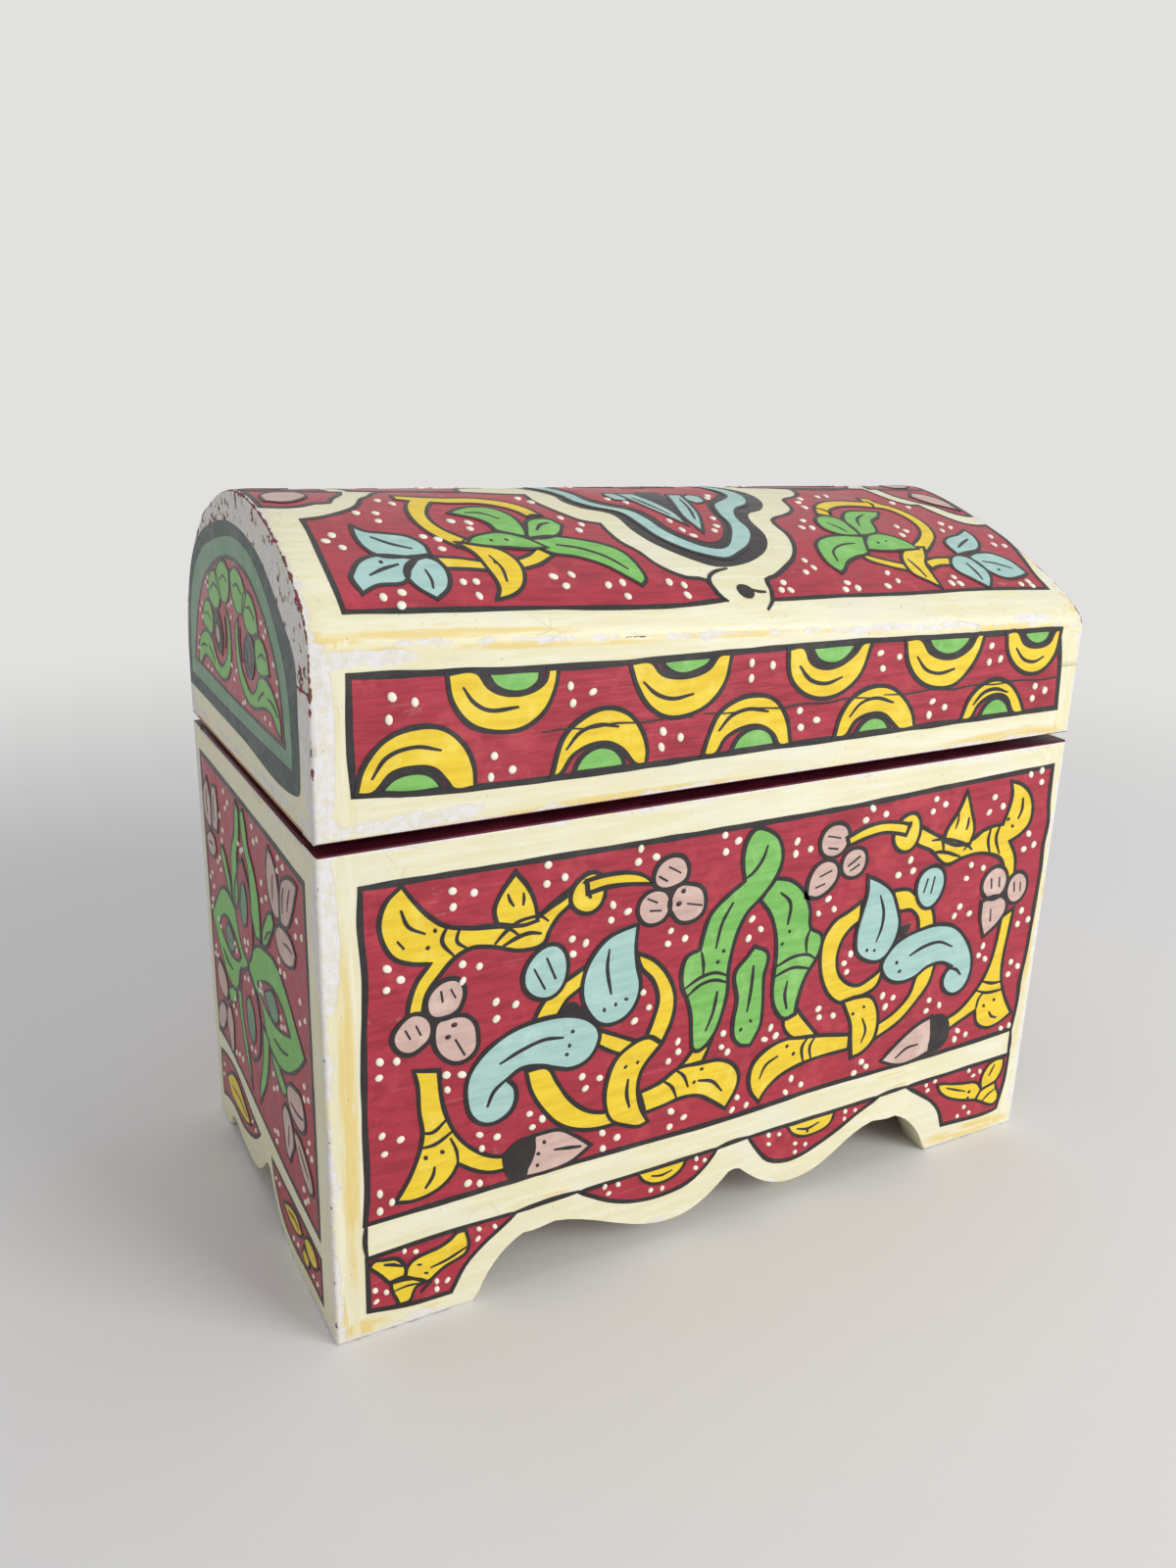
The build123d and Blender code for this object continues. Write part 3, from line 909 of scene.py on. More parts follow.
class Painting:
    """Paint on one face: flat shapes, lines and dots, gathered by colour."""

    def __init__(self, name, face, body, cut=None, seed=1):
        self.name, self.face, self.body, self.cut = name, face, body, cut
        self.random = random.Random(seed)
        self.films = {}
        self.drawn = 0
        (origin, out), (along, _), (up, _) = face(100, 60), face(101, 60), face(100, 61)
        turn = (Vector(along) - Vector(origin)).cross(Vector(up) - Vector(origin))
        self.turned = turn.dot(Vector(out)) < 0

    def film(self, colour):
        return self.films.setdefault(colour, ([], [], []))

    def place(self, u, v, lift):
        point, out = self.face(u, v)
        return tuple(p + lift * o for p, o in zip(point, out)), out

    def slab(self, colour, flat, triangles, lift):
        """A closed film over triangles in the face's own plane."""
        if self.turned:
            triangles = [triangle[::-1] for triangle in triangles]
        verts, faces, normals = self.film(colour)
        base = len(verts)
        count = len(flat)
        for level in (lift, sunk):
            for u, v in flat:
                point, out = self.place(u, v, level)
                verts.append(point)
                normals.append(out)
        rims = {}
        for triangle in triangles:
            faces.append([base + i for i in triangle])
            faces.append([base + count + i for i in reversed(triangle)])
            for a, b in zip(triangle, triangle[1:] + triangle[:1]):
                rims[(a, b)] = True
        for a, b in rims:
            if (b, a) not in rims:
                faces.append([base + b, base + a, base + count + a, base + count + b])

    def fill(self, colour, outline, lift):
        """A film inside an outline."""
        bm = bmesh.new()
        area = sum(a.x * b.y - b.x * a.y for a, b in zip(outline, outline[1:] + outline[:1]))
        ring = outline if area > 0 else outline[::-1]
        face = bm.faces.new([bm.verts.new((p.x, p.y, 0)) for p in ring])
        face.normal_update()
        bmesh.ops.triangulate(bm, faces=[face], ngon_method="EAR_CLIP")
        for axis, step in enumerate(self.cut or ()):
            way = Vector([1 if k == axis else 0 for k in range(3)])
            values = [v.co[axis] for v in bm.verts]
            line = math.floor(min(values) / step) + 1
            while line * step < max(values):
                everything = bm.verts[:] + bm.edges[:] + bm.faces[:]
                place = way * line * step
                bmesh.ops.bisect_plane(bm, geom=everything, dist=1e-4, plane_co=place, plane_no=way)
                line += 1
        bm.verts.index_update()
        flat = [(v.co.x, v.co.y) for v in bm.verts]
        polygons = [[v.index for v in f.verts] for f in bm.faces]
        bm.free()
        self.slab(colour, flat, polygons, lift)

    def ribbon(self, colour, line, lift, width, closed):
        """A brushed line: its width wanders, and it thins towards free ends."""
        wave = self.random.uniform(0, 50)
        count = len(line)
        left, right = [], []
        for i, p in enumerate(line):
            before = line[i - 1] if closed or i else line[i]
            after = line[(i + 1) % count] if closed or i < count - 1 else line[i]
            a = (p - before).normalized() if (p - before).length > 1e-6 else None
            b = (after - p).normalized() if (after - p).length > 1e-6 else None
            a, b = a or b, b or a
            along = (a + b).normalized() if (a + b).length > 0.2 else a
            side = Vector((-along.y, along.x))
            wandering = wander.noise(Vector((p.x * wander_scale + wave, p.y * wander_scale, wave)))
            reach = width / 2 * (1 + wander_share * wandering)
            if not closed:
                ends = min(i, count - 1 - i) / max(1, min(tapered_points, count / 2))
                reach *= taper + (1 - taper) * min(1, ends)
            stretch = min(mitre_limit, 1 / max(0.5, abs(side.dot(Vector((-a.y, a.x))))))
            left.append(p + side * reach * stretch)
            right.append(p - side * reach * stretch)
        flat = [tuple(p) for p in left + right]
        quads = []
        for i in range(count if closed else count - 1):
            j = (i + 1) % count
            quads.append([i, count + i, count + j, j])
        self.slab(colour, flat, quads, lift)

    def outlined(self, colour, outline, lift, line):
        """A film and, where line isn't 0, a black line of that width round it."""
        self.fill(colour, outline, lift)
        if line:
            self.ribbon("black", outline, lift + line_lift, line, True)

    def next_relief(self):
        """A small extra height, so that strokes which cross don't lie in one plane."""
        self.drawn += 1
        return relief_step * (self.drawn % relief_count)

    def shape(self, colour, text, level=1, line=line_width):
        """A painted shape with its black outline."""
        self.outlined(colour, curve_through(path(text), True), level_lift[level] + self.next_relief(), line)

    def panel(self, colour, text, line=1.5, lift=panel_lift):
        """A background panel, framed by a black line that lies under the shapes."""
        self.outlined(colour, curve_through(path(text), True, 2.5), lift, line)

    def lines(self, *texts, width=0.95, level=1):
        """Open black brushed lines on a level's shapes."""
        for text in texts:
            lift = level_lift[level] + line_lift + stroke_lift + self.next_relief()
            self.ribbon("black", curve_through(path(text), False, 1.0), lift, width, False)

    def blob(self, text, level=1):
        """A solid black shape with no outline of its own."""
        self.drawn += 1
        lift = level_lift[level] + line_lift + blob_lift
        self.fill("black", curve_through(path(text), True, 0.8), lift)

    def oval(self, colour, u, v, across, up, level=1):
        """A berry or petal: an oval a little out of true."""
        lean = self.random.uniform(-0.3, 0.3)
        steps = 26
        outline = []
        for i in range(steps):
            angle = 2 * math.pi * i / steps
            swell = 1 + 0.035 * math.sin(3 * angle + lean * 9)
            x, y = across * swell * math.cos(angle), up * swell * math.sin(angle)
            across_leaning = x * math.cos(lean) - y * math.sin(lean) * 0.5
            outline.append(Vector((u + across_leaning, v + y + x * lean * 0.3)))
        self.outlined(colour, outline, level_lift[level] + self.next_relief(), line_width)

    def dots(self, text, colour="white", size=dot_size, lift=dot_lift):
        """Round dabs of thick paint."""
        verts, faces, normals = self.film(colour + "_dots")
        segments = 10
        for u, v in path(text):
            base = len(verts)
            lean = self.random.uniform(0, math.pi)
            across = size * self.random.uniform(0.78, 1.02)
            up = size * self.random.uniform(0.95, 1.25)
            for share, level in ((1.0, sunk), (0.97, lift * 0.72), (0.6, lift * 0.95)):
                for k in range(segments):
                    angle = 2 * math.pi * k / segments
                    x, y = across * share * math.cos(angle), up * share * math.sin(angle)
                    du = x * math.cos(lean) - y * math.sin(lean)
                    dv = x * math.sin(lean) + y * math.cos(lean)
                    point, out = self.place(u + du, v + dv, level)
                    verts.append(point)
                    normals.append(out)
            point, out = self.place(u, v, lift)
            verts.append(point)
            normals.append(out)
            first = len(faces)
            faces.append([base + segments - 1 - k for k in range(segments)])
            for ring in (0, 1):
                for k in range(segments):
                    j = (k + 1) % segments
                    low, high = base + ring * segments, base + (ring + 1) * segments
                    faces.append([low + k, low + j, high + j, high + k])
            top_ring, top = base + 2 * segments, base + 3 * segments
            for k in range(segments):
                faces.append([top_ring + k, top_ring + (k + 1) % segments, top])
            if self.turned:
                faces[first:] = [face[::-1] for face in faces[first:]]

    def finish(self):
        """One mesh for each colour on the face."""
        for colour, (verts, faces, normals) in self.films.items():
            paint = paints[colour.removesuffix("_dots")]
            given = None if colour.endswith("_dots") else normals
            make(f"{self.name}_{colour}", verts, faces, self.body, [paint], None, given)


paints = {
    "burgundy": burgundy_paint,
    "yellow": brushed_paint("yellow_paint", (230, 192, 36), (242, 210, 46), (246, 220, 88)),
    "green": brushed_paint("green_paint", (110, 176, 82), (128, 193, 96), (150, 206, 120)),
    "blue": brushed_paint("pale_blue_paint", (156, 194, 188), (172, 208, 200), (190, 220, 212)),
    "pink": brushed_paint("dusty_pink_paint", (198, 164, 154), (214, 182, 170), (226, 200, 188)),
    "black": brushed_paint("black_paint", (26, 22, 23), (36, 31, 32), (56, 50, 50), 0.32),
    "white": brushed_paint("white_paint", (240, 232, 206), (248, 243, 226), (252, 250, 242)),
    "cream": cream_paint,
    "deep_green": brushed_paint("deep_green_paint", (14, 38, 38), (24, 52, 48), (60, 88, 78)),
    "sage": brushed_paint("sage_paint", (94, 132, 104), (114, 152, 120), (142, 172, 138)),
}


def paint_front(p):
    """The scrolling leaves of the body's front, in (x, z)."""
    p.panel(
        "burgundy",
        "9.4 117.3, 142 116.8, 177.7 117.9, 215.9 118.9, 216.3 108.6, 217.3 101.4, 216.6 94.3, 217 87,"
        "216.6 76, 215.9 58.6, 214.9 50, 215.2 44.3, 214.1 34.6, 199 33.9, 170.6 33.4, 142 33.6, 110 32.3,"
        "70 32.5, 8 32.1, 8.7 40, 8.7 60, 9.1 80, 9.8 95.7, 9.1 108.6",
    )
    # The apron's panels
    for text in (
        "8.2 22.4, 30 23.1, 47.3 22.8, 43.7 20.3, 38 16.4, 33 11.7, 30.5 7.4, 29.4 5.3, 19.4 5.6, 8.2 7.4",
        "64.8 23.1, 69.4 20.3, 73.7 17.8, 79.4 15.6, 85.9 14.4, 91.6 14.4, 98 15.6, 103.7 19.2, 107.3 23.5",
        "117.6 24.1, 120.9 19.2, 125.1 14.6, 131.6 12.6, 136.6 13, 141.6 14.6, 149.4 17.8, 156.6 21.4,"
        "163.7 24.4",
        "174 24.8, 180.1 20.6, 185.1 16.7, 188 13.1, 190.1 7.4, 210.1 6.6, 212.6 7.1, 213.4 11, 214.4 16.7,"
        "214.8 25.6",
    ):
        p.panel("burgundy", text, 1.25)
    p.lines(
        "8.2 32, 7.8 27, 8.2 22.4",
        "47 22.9, 56 23.4, 65 23.4",
        "107 23.6, 112 24.2, 118 24.2",
        width=1.25,
        level=0,
    )
    p.lines("163 24.6, 168 25, 174 25", "214.2 34.6, 214.6 30, 214.6 25.6", width=1.25, level=0)
    for text in (
        "9.7 21.2, 12.5 20.8, 15.6 20, 17 18.2, 17.8 16.4, 17.4 14.4, 15.5 14.2, 13.3 13.9, 11.4 16.6,"
        "8.6 19.8",
        "17.6 14.2, 18 16.4, 19.6 18.2, 23 19.1, 26.6 19.7, 29.5 21, 31.2 22.4, 33.4 22.2, 34.2 18,"
        "33.4 15.6, 31 14.5, 28 13.6, 25.6 12.2, 23.4 10.8, 20.6 12.3",
        "13.9 13.5, 17.6 13.3, 21.6 12, 23 10.8, 20.2 10.2, 19.4 8.6, 18.6 6.8, 15.8 6.6, 15.2 8.4, 14.2 11",
        "82.3 23.3, 84.4 20.3, 88 18.5, 93 18.9, 96.2 21, 97.3 23.4",
        "130.7 24, 132.3 21.4, 135.9 19.2, 140.9 18.9, 145.9 20.6, 147.4 24.2",
        "186.3 22.3, 188.6 22.1, 192 21.1, 198 19.9, 202 19.1, 203.6 17.8, 204.8 16, 203.8 14.2,"
        "202.8 12.7, 200 13.4, 195 14.9, 190.4 17.1, 187.4 19.8",
        "204.8 15.9, 204.2 18.6, 205 21.6, 207 24.2, 210 25.2, 212.7 24.9, 213 22.4, 212.2 19.4,"
        "210.8 17.5, 207.6 16.5",
        "203 12.6, 204.7 15.4, 207.5 16.4, 210.5 17.2, 211.2 14.8, 212.5 12.4, 212.2 10, 210.6 9.1,"
        "208.2 9.8, 205.5 11.3",
    ):
        p.shape("yellow", text, 1, 0.95)
    p.lines("86.5 21.4, 89.4 20.7, 93 21.3", "134 22.2, 138 21.2, 142 22.2", width=0.8)
    p.lines(
        "24 14.5, 28.5 15.4, 33.6 17.3",
        "190 20.3, 194 18.6, 198.2 17",
        "209.2 23.6, 208.3 21.8, 207.3 20",
        width=0.8,
    )
    p.lines("12.2 19.5, 14.6 18.7, 16.8 17.5", "20.6 16.6, 21.8 16.2", "22.4 13.6, 23.4 13.1", width=1.0)
    p.lines("14.5 11, 18 11.4, 22 10.8", "205.6 11.3, 208 13.2, 210.7 14.6", width=0.8)
    p.lines("21.4 8, 22.6 9.2, 24.4 10.4", width=0.9)
    # The green figure in the middle
    p.shape(
        "green",
        "120 100.7, 125 99.3, 129.3 95.7, 132.1 90, 132.9 84.3, 136.8 81.4, 136.8 77.1, 135 73.6,"
        "132.9 70.7, 130.7 64.3, 130 59.3, 126.4 58.6, 123.2 62.1, 121.8 67.1, 121.8 72.1, 122.1 78.6,"
        "121.4 85, 119.3 90.7, 115.7 95.4",
        1,
    )
    p.shape(
        "green",
        "112.9 115.4, 116.4 114.6, 120.4 111.4, 121.8 105.7, 120 100.7, 115.7 95.9, 112.1 92.9, 109.3 87.9,"
        "107.9 82.9, 107.1 77.1, 107.1 70.7, 105.7 64.3, 103.6 59.3, 99.3 55.7, 97.5 56.4, 96.8 60,"
        "96.1 67.1, 94.6 72.1, 93.2 75, 93 81.4, 94.3 83.9, 97.9 85, 98.6 88.6, 100.7 94.3, 105.7 98.6,"
        "110.4 101.6, 109.4 107.9, 110.4 112.9",
        1,
    )
    p.shape(
        "green",
        "115 82.5, 119.3 79.6, 118.6 72.9, 118.9 63.6, 118.6 58.6, 115.7 53.2, 112.1 54.3, 110 57.1,"
        "109.6 61.4, 110.4 67.9, 109.3 76.1, 112.9 80",
        1,
    )
    p.lines(
        "116.8 110.4, 115.7 107.1, 112.9 103.6, 110.4 102.1",
        "93.4 74.6, 98.6 77.1, 102.9 77.5, 107 75.8",
        "94.4 72.3, 98.8 75, 102.9 75.4, 107 73.8",
        "98.4 84.3, 99.2 80.5, 99.3 77.3",
        "107.3 96.4, 104.3 91.4, 102.7 84.3",
        "104 72, 103 66, 101 61",
        "122 74.9, 127.9 76.8, 132.9 76.4, 135.4 74.6",
        "122 72.1, 127.9 73.6, 133.6 72.2",
        "132.9 84.3, 131.8 81, 132.2 76.8",
        "122 96.4, 125.4 92.9, 125.1 86.6",
        "126.5 70, 126 66, 127 61.5",
        "115 77.1, 114.7 70, 113.9 63.6",
    )
    # The yellow roots and the leaves that grow from them
    for level, text in (
        (0, "97 55.8, 103.6 59.3, 102.5 56, 100.7 52.1, 92.9 51.8, 95.5 54"),
        (
            1,
            "81.8 47.9, 87.9 49.3, 93.6 52.1, 99.3 51.8, 105.7 51.4, 110 49.3, 112.5 45.7, 112.5 42.1,"
            "108.9 35.7, 104.3 39.3, 100 42.1, 95 42.9, 89.3 42.1, 83.6 41.4",
        ),
        (0, "126.4 58.8, 130.7 60.7, 132.1 58.6, 135 55, 138.6 50.7, 130 52, 126.4 56.4"),
        (
            1,
            "120 34.6, 117.1 38.6, 116.1 42.9, 117.1 47.1, 121.4 50.7, 127.1 52.1, 132.9 51.4, 137.9 50.7,"
            "150 48.2, 150 43.6, 137.9 43.6, 130.7 42.5, 125.7 40.7, 121.4 37.1",
        ),
        # The left ring
        (
            0,
            "49.4 62.5, 50.9 56.4, 54.4 50, 58.7 45, 63.7 42.1, 69.4 40.7, 78 40.8, 78 45.5, 71.6 45,"
            "66.6 46.8, 61.6 51.4, 58 57.1, 55.1 62.1",
        ),
        (
            0,
            "79.3 87.9, 84.3 85, 88.6 80, 91.1 73.6, 90.7 67.1, 87.9 60.7, 83 63.5, 85 68.6, 86.1 73.6,"
            "84.3 79.3, 80.7 83.6",
        ),
        (0, "68.6 69.4, 74 66.5, 80.5 63, 78 59.4, 73 62, 68 65.4"),
        (
            1,
            "77.9 62.1, 74.3 59.3, 72.1 54.3, 71.6 47.9, 73.6 42.1, 77.9 39.3, 82.1 37.9, 84.6 38.6,"
            "82.1 43.6, 81.1 49.3, 82.1 54.3, 86.4 59.3, 87.9 60.7, 83.6 63.6",
        ),
        (0, "50.9 75, 53.7 80, 58 83.5, 64.8 87.1, 65 83, 60.1 79.3, 56.6 75"),
        # The right ring
        (
            0,
            "149.9 88.9, 144.9 86.4, 141.4 85, 137.9 80.7, 137.1 74.3, 138.6 67.1, 142.1 61.4, 147 58.6,"
            "152 59.5, 158 61.5, 160 67.1, 155.6 64.6, 151.3 63.2, 147 65, 143.9 68.6, 142.9 73.6,"
            "144.3 78.6, 147 81.4, 150 83",
        ),
        (
            0,
            "160.5 90, 166.3 89.3, 169.1 87.1, 175.6 82.1, 177.7 75, 171.6 75, 170.6 80, 167.7 82.9,"
            "163 83.6",
        ),
        (
            0,
            "179.5 64.5, 177.7 57.9, 172.7 52.1, 167.7 47.9, 158 43.9, 158 48.5, 165.6 51.4, 170.6 55.7,"
            "173.4 62.5",
        ),
        (
            1,
            "146.3 59.3, 151.3 59.6, 156.3 58.6, 159.1 54.3, 159.9 49.3, 158.8 44.3, 154.9 41.1,"
            "151.3 40.4, 150.6 45.7, 149.9 51.4, 147.7 56.4",
        ),
        # The top left vine, its pointed leaf, knob and tail
        (2, "64.6 109.7, 70 110.3, 77.1 109.6, 80.7 108.1, 83.5 105.6, 76.4 106.8, 70 107.1, 65 106.4"),
        (
            0,
            "18.7 116.3, 21.6 112.1, 25.1 107.9, 28.7 105, 35.1 103.2, 40.9 102.5, 48 101.6, 52 103,"
            "55.1 105, 61 108.6, 61.2 105.4, 57 101.5, 55.1 98.6, 53.7 95.7, 48 95, 40.1 97.5, 35.1 98.2,"
            "30.9 96.4, 27.3 92.9, 24.4 89.3, 23 84, 19.4 84, 19.8 87.1, 21.6 92.1, 25.1 96.3, 20.9 97.1,"
            "16.6 99.3, 14.1 103.6, 13.4 108.6, 15.1 113.2",
        ),
        (1, "46.2 115, 42.3 110, 40.9 106.4, 41.6 102.9, 48 101.4, 51.9 101.9, 51.2 106.4, 49.4 110.7"),
        # The top right vine
        (
            2,
            "142.5 108.4, 148.4 110.4, 154.1 110.9, 161 109.8, 164 108.9, 162.8 106, 159.1 107.1,"
            "154.9 107.9, 149.1 107.3, 143.4 106",
        ),
        (
            0,
            "166 108.6, 169.1 107.1, 172.7 105, 177 102.9, 187.7 100.7, 192 102.9, 196.3 103.6,"
            "199.1 103.6, 200.6 107.9, 201.3 112.1, 200.2 116.4, 204.9 114.6, 208.4 111.4, 210.2 106.4,"
            "209.5 102.1, 206.3 99.3, 202.7 97.9, 205.6 92.9, 206.6 86, 204.1 86, 199.9 92.9, 195.6 95,"
            "190.6 96.1, 184.9 95.7, 179.1 94.6, 176.3 96.4, 173.4 99.3, 166 104",
        ),
        (1, "183.8 115.7, 181.3 110, 177.7 105, 177 102.1, 182 100, 187 99.6, 188.1 103.6, 186.3 109.3"),
        # The stems that fork at each side
        (
            0,
            "20.7 70, 26.9 68.6, 27.3 62.1, 28.7 55.7, 31.6 49.3, 35.9 44.3, 40.9 41.1, 46 39.8, 46 36.4,"
            "40.1 36.8, 35.9 38.6, 31.5 41.8, 30.1 39.3, 26.6 36.4, 20.1 35, 15.5 35.9, 19.4 42.1,"
            "21.9 48.6, 22.6 52.9, 21.9 58.6, 21.6 65.7",
        ),
        (
            0,
            "208.1 76, 207.4 69.3, 206.6 62.1, 206.6 55.7, 207.4 51.4, 209.9 45.7, 213.2 40.4, 207.7 37.9,"
            "203.4 37.5, 199.1 40, 197.7 44.6, 193.4 42.9, 186 40, 186 44.3, 191.3 46.4, 194.9 49.3,"
            "199.1 54.3, 201.6 60, 202.7 65.7, 203.4 74",
        ),
    ):
        p.shape("yellow", text, level)
    p.oval("yellow", 65.3, 106.3, 4.8, 5.2, 1)
    p.oval("yellow", 163.4, 106.5, 4.8, 5.6, 1)
    p.blob("63.4 109.4, 64.4 110, 65.2 109.4, 65.6 107.4, 66.2 105, 65.4 105, 64.6 107, 64.2 108.8", 2)
    p.blob("163.2 109.6, 164.4 109.8, 164.6 108.6, 163.6 107, 163.2 105.6, 162.4 105.8, 162.8 107.4", 2)
    p.lines(
        "88.6 49.6, 91.5 47, 93.2 43",
        "92.1 52, 95 49.4, 96.6 45.6",
        "99.5 46.8, 104 45.4, 107.5 41.5",
        "135.4 51.2, 133.4 48.4, 134.1 43.6",
        "138 50.9, 136.1 47.9, 136.8 43.7",
        "119.6 42, 121.5 45.8, 125.4 47.6",
        "78.2 52.9, 77.9 48.6, 78.9 44.3",
        "154 52.4, 155.6 48, 154.4 44.4",
        "29.4 105, 28 101.4, 30.8 97.2",
        "32.3 103.6, 31.6 100.7, 34.1 98.4",
        "18.4 110.7, 20.1 106.4, 24.1 103.9",
        "17.4 103.4, 19 101.2",
        "44.2 110, 44.8 108.2, 45.8 106.6",
        "48.2 109.6, 48.3 108, 48.1 106.4",
        "36 103.4, 39 103.1, 42 102.5, 45 101, 47.2 99",
        "41 98, 43.5 100.4, 46.6 102.4, 50 103, 52.8 102.8, 54.8 101.2",
        "43 97, 46 98.3, 49.8 99.1, 53 98.4",
        "51.6 102.2, 55 104.4, 58.4 106, 60.4 106.9",
        "181.6 109.2, 181.4 107, 180.8 105",
        "185.4 107.8, 185.4 106, 185 104",
        "172.6 102.8, 177 102.6, 183 100.8, 186.6 99, 188.2 97.6",
        "173 99, 176 98.9, 179 98.2, 182 97, 184 96.2",
        "175.6 104, 176.8 101.6, 177.4 99",
        "185 98, 187 100, 190 102.2, 194.4 103.2",
        "194.5 103, 194 99.6, 195.2 95.6",
        "198.1 103.9, 197 100, 199.1 94.6",
        "205.6 110.7, 205.8 107.1, 204.7 104.4",
        "22.6 52.9, 25 52.4, 28.6 54.9",
        "22.1 48.9, 25.6 49, 30.6 51.6",
        "31.5 41.8, 31.2 45.4, 29.6 49.6",
        "25.5 42.9, 25.1 40.7, 23 37.5",
        "199.4 53.9, 203.4 52.5, 207 52.3",
        "197.4 51.3, 201.3 49.8, 207.8 49.5",
        "203.6 43, 204.8 41.2, 207 40.2",
        "198 45.2, 198.6 48.4, 200.6 50.4",
        level=1,
    )
    # Pale blue leaves and drops
    p.shape(
        "blue",
        "69.4 68.6, 68.7 64.3, 65.9 61.1, 61.6 60.1, 57.3 61.4, 53.7 62.9, 48 63.6, 44.4 61.6, 46.6 58.6,"
        "45.9 53.2, 42.3 50.7, 38.7 50.7, 35.1 53.6, 33.7 58.6, 34.1 64.3, 37.3 69.3, 42.3 72.9, 48 75,"
        "55.1 75.7, 60.9 75, 65.9 72.9",
    )
    p.shape(
        "blue",
        "79.3 95.7, 75 95, 70.9 93.6, 66.6 89.3, 64.4 83.6, 64.4 78.6, 66.6 73.6, 69.4 70.7, 72.4 69.8,"
        "76.4 70.7, 79.3 73.6, 80.7 78.6, 79.6 84.3, 78.9 90",
        2,
    )
    p.oval("blue", 54.4, 87.9, 6.1, 7.1, 2)
    p.shape(
        "blue",
        "151 96, 155.6 93.6, 159.9 90, 162.7 84.3, 164.1 79.3, 162.7 73.6, 158.4 69.4, 152.7 70.7,"
        "149.5 73.6, 148.8 79.3, 150.2 85.7, 151.3 90.7",
        2,
    )
    p.oval("blue", 174, 88.9, 5.2, 6.4, 2)
    p.shape(
        "blue",
        "159.1 67.9, 162.7 72.9, 167 75, 172.7 76.1, 179.1 76.4, 184.9 74.6, 189.9 70, 193.1 64.3,"
        "193.8 58.6, 192 53.9, 188.4 52.3, 184.9 53.6, 182.9 57.1, 184.1 60.7, 185.9 61.8, 181.3 63.9,"
        "176.3 63.6, 172 61.4, 167 60.7, 162.7 62.1, 159.9 65",
    )
    p.blob("58 76, 59 78.4, 62 78.4, 64.6 76, 66.6 73, 62 74.6", 2)
    p.blob("165.6 74.4, 163.6 76.4, 165 78.4, 168.4 78.8, 167.4 76.6", 2)
    p.lines(
        "42.3 66.3, 48 68.6, 54.4 70, 59.4 69.3",
        "39.1 55.4, 40.9 59.3, 44.6 62",
        "169.1 68.6, 174.1 70.4, 179.9 70.7, 185.2 68.2",
        "184.1 61.6, 187.7 60.4, 189.9 58.2",
    )
    p.lines(
        "71.4 90.7, 71 85.7, 72.3 78.2",
        "51.1 89.6, 54.1 83.6",
        "54.4 91.8, 56.9 85.7",
        "155.9 89.6, 157.7 84.3, 157.6 80, 156.1 75.4",
        "172.7 91.6, 171.6 87.4",
        "175.2 91.8, 174.3 86.8",
        level=2,
    )
    # Dusty pink trefoils and buds
    for text in (
        "24 86.6, 25.2 89.4, 28 91.4, 31.6 91.2, 33.4 88.6, 33.2 85.6, 31.6 82.8, 28 81.8, 25 82.8",
        "15.6 79.6, 17.4 82.6, 20.6 84.6, 23.8 83.6, 25.4 81, 25 77.6, 22.6 75.4, 20 74.4, 17 75.8",
        "25.6 78.6, 26.4 81.2, 30 82, 33.6 81.4, 36 79, 36.8 75.4, 36.4 71.8, 34 69.6, 31 69.4, 28 71.4,"
        "26 74.6",
        "83.2 107.4, 84.6 110.6, 88 112.2, 91.4 111.4, 93.2 108.6, 92.8 105.4, 90 103.8, 86 103.6, 83.8 105",
        "79 99.4, 80.6 102.8, 84 104, 87.4 102.6, 88.4 99.4, 87.4 96, 84.4 94.6, 81 95.4",
        "88.6 101.6, 90.4 104, 94 103.8, 97.6 102, 98.8 98.6, 98 95, 95 93.4, 91.4 93.8, 89 96.4, 88 99",
        "133.6 108.6, 135.4 112, 139 113, 142.4 111.4, 143.2 107.8, 141.6 104.6, 138 103.4, 134.8 104.8",
        "130.4 93.6, 130.8 98.4, 133.4 102.2, 137 103, 140.2 101, 140.6 97.4, 138 94.2, 134 92.6",
        "141.4 100.4, 142.6 103.8, 145.6 105, 149 103.8, 150 100.6, 148.6 97.4, 145.4 96.4, 142.4 97.8",
        "194.6 80.6, 194.9 74.9, 197 68.9, 202 72.1, 204.9 76.4, 204 79.8, 199.6 81.4",
        "193.8 85.4, 195.4 89.2, 198.8 90.8, 202.2 89.4, 203.8 86, 202.8 82.2, 199.4 80.6, 195.6 81.8",
        "203.8 82.6, 205.2 86.4, 208 87.6, 211 86, 212.2 82.6, 211 79.2, 208.2 77.6, 205 79",
    ):
        p.shape("pink", text, 1, 1.2)
    p.lines(
        "27.6 89, 28 86",
        "30 89, 31.2 86.4",
        "18.8 81, 20 78.4",
        "21.4 81.6, 22.6 78.8",
        "31 75.8, 33.4 71",
        "87.4 109.4, 91 107.2",
        "84.6 107.4, 87.2 105.6",
        "81.6 102, 84.6 100.4",
        "82.4 98.6, 85.8 98.1",
        "93.2 98.6, 97.8 97.3",
        "136 109.8, 140.4 108.6",
        "136.4 106.4, 139.8 105.6",
        "134.4 98.6, 138.4 99.8",
        "133.2 95.6, 136.4 96.4",
        "143.6 100, 147.6 102.4",
        "144.4 98.6, 147.6 100",
        "198.6 77.6, 199 73.4",
        "197.2 87.4, 197.8 84",
        "200.4 87.2, 200.8 84",
        "206.6 84.6, 207.2 81.4",
        "209.2 84.2, 209.6 81",
        width=0.9,
    )
    p.dots("30.8 79.6, 29.2 76.8, 92 102.2, 90.8 99", "black", 0.72)
    p.shape("pink", "51.9 43.9, 58.7 43.6, 63 40.7, 68 36.4, 62.3 33.2, 55.1 32.3, 49.4 32.6, 50.5 37.9")
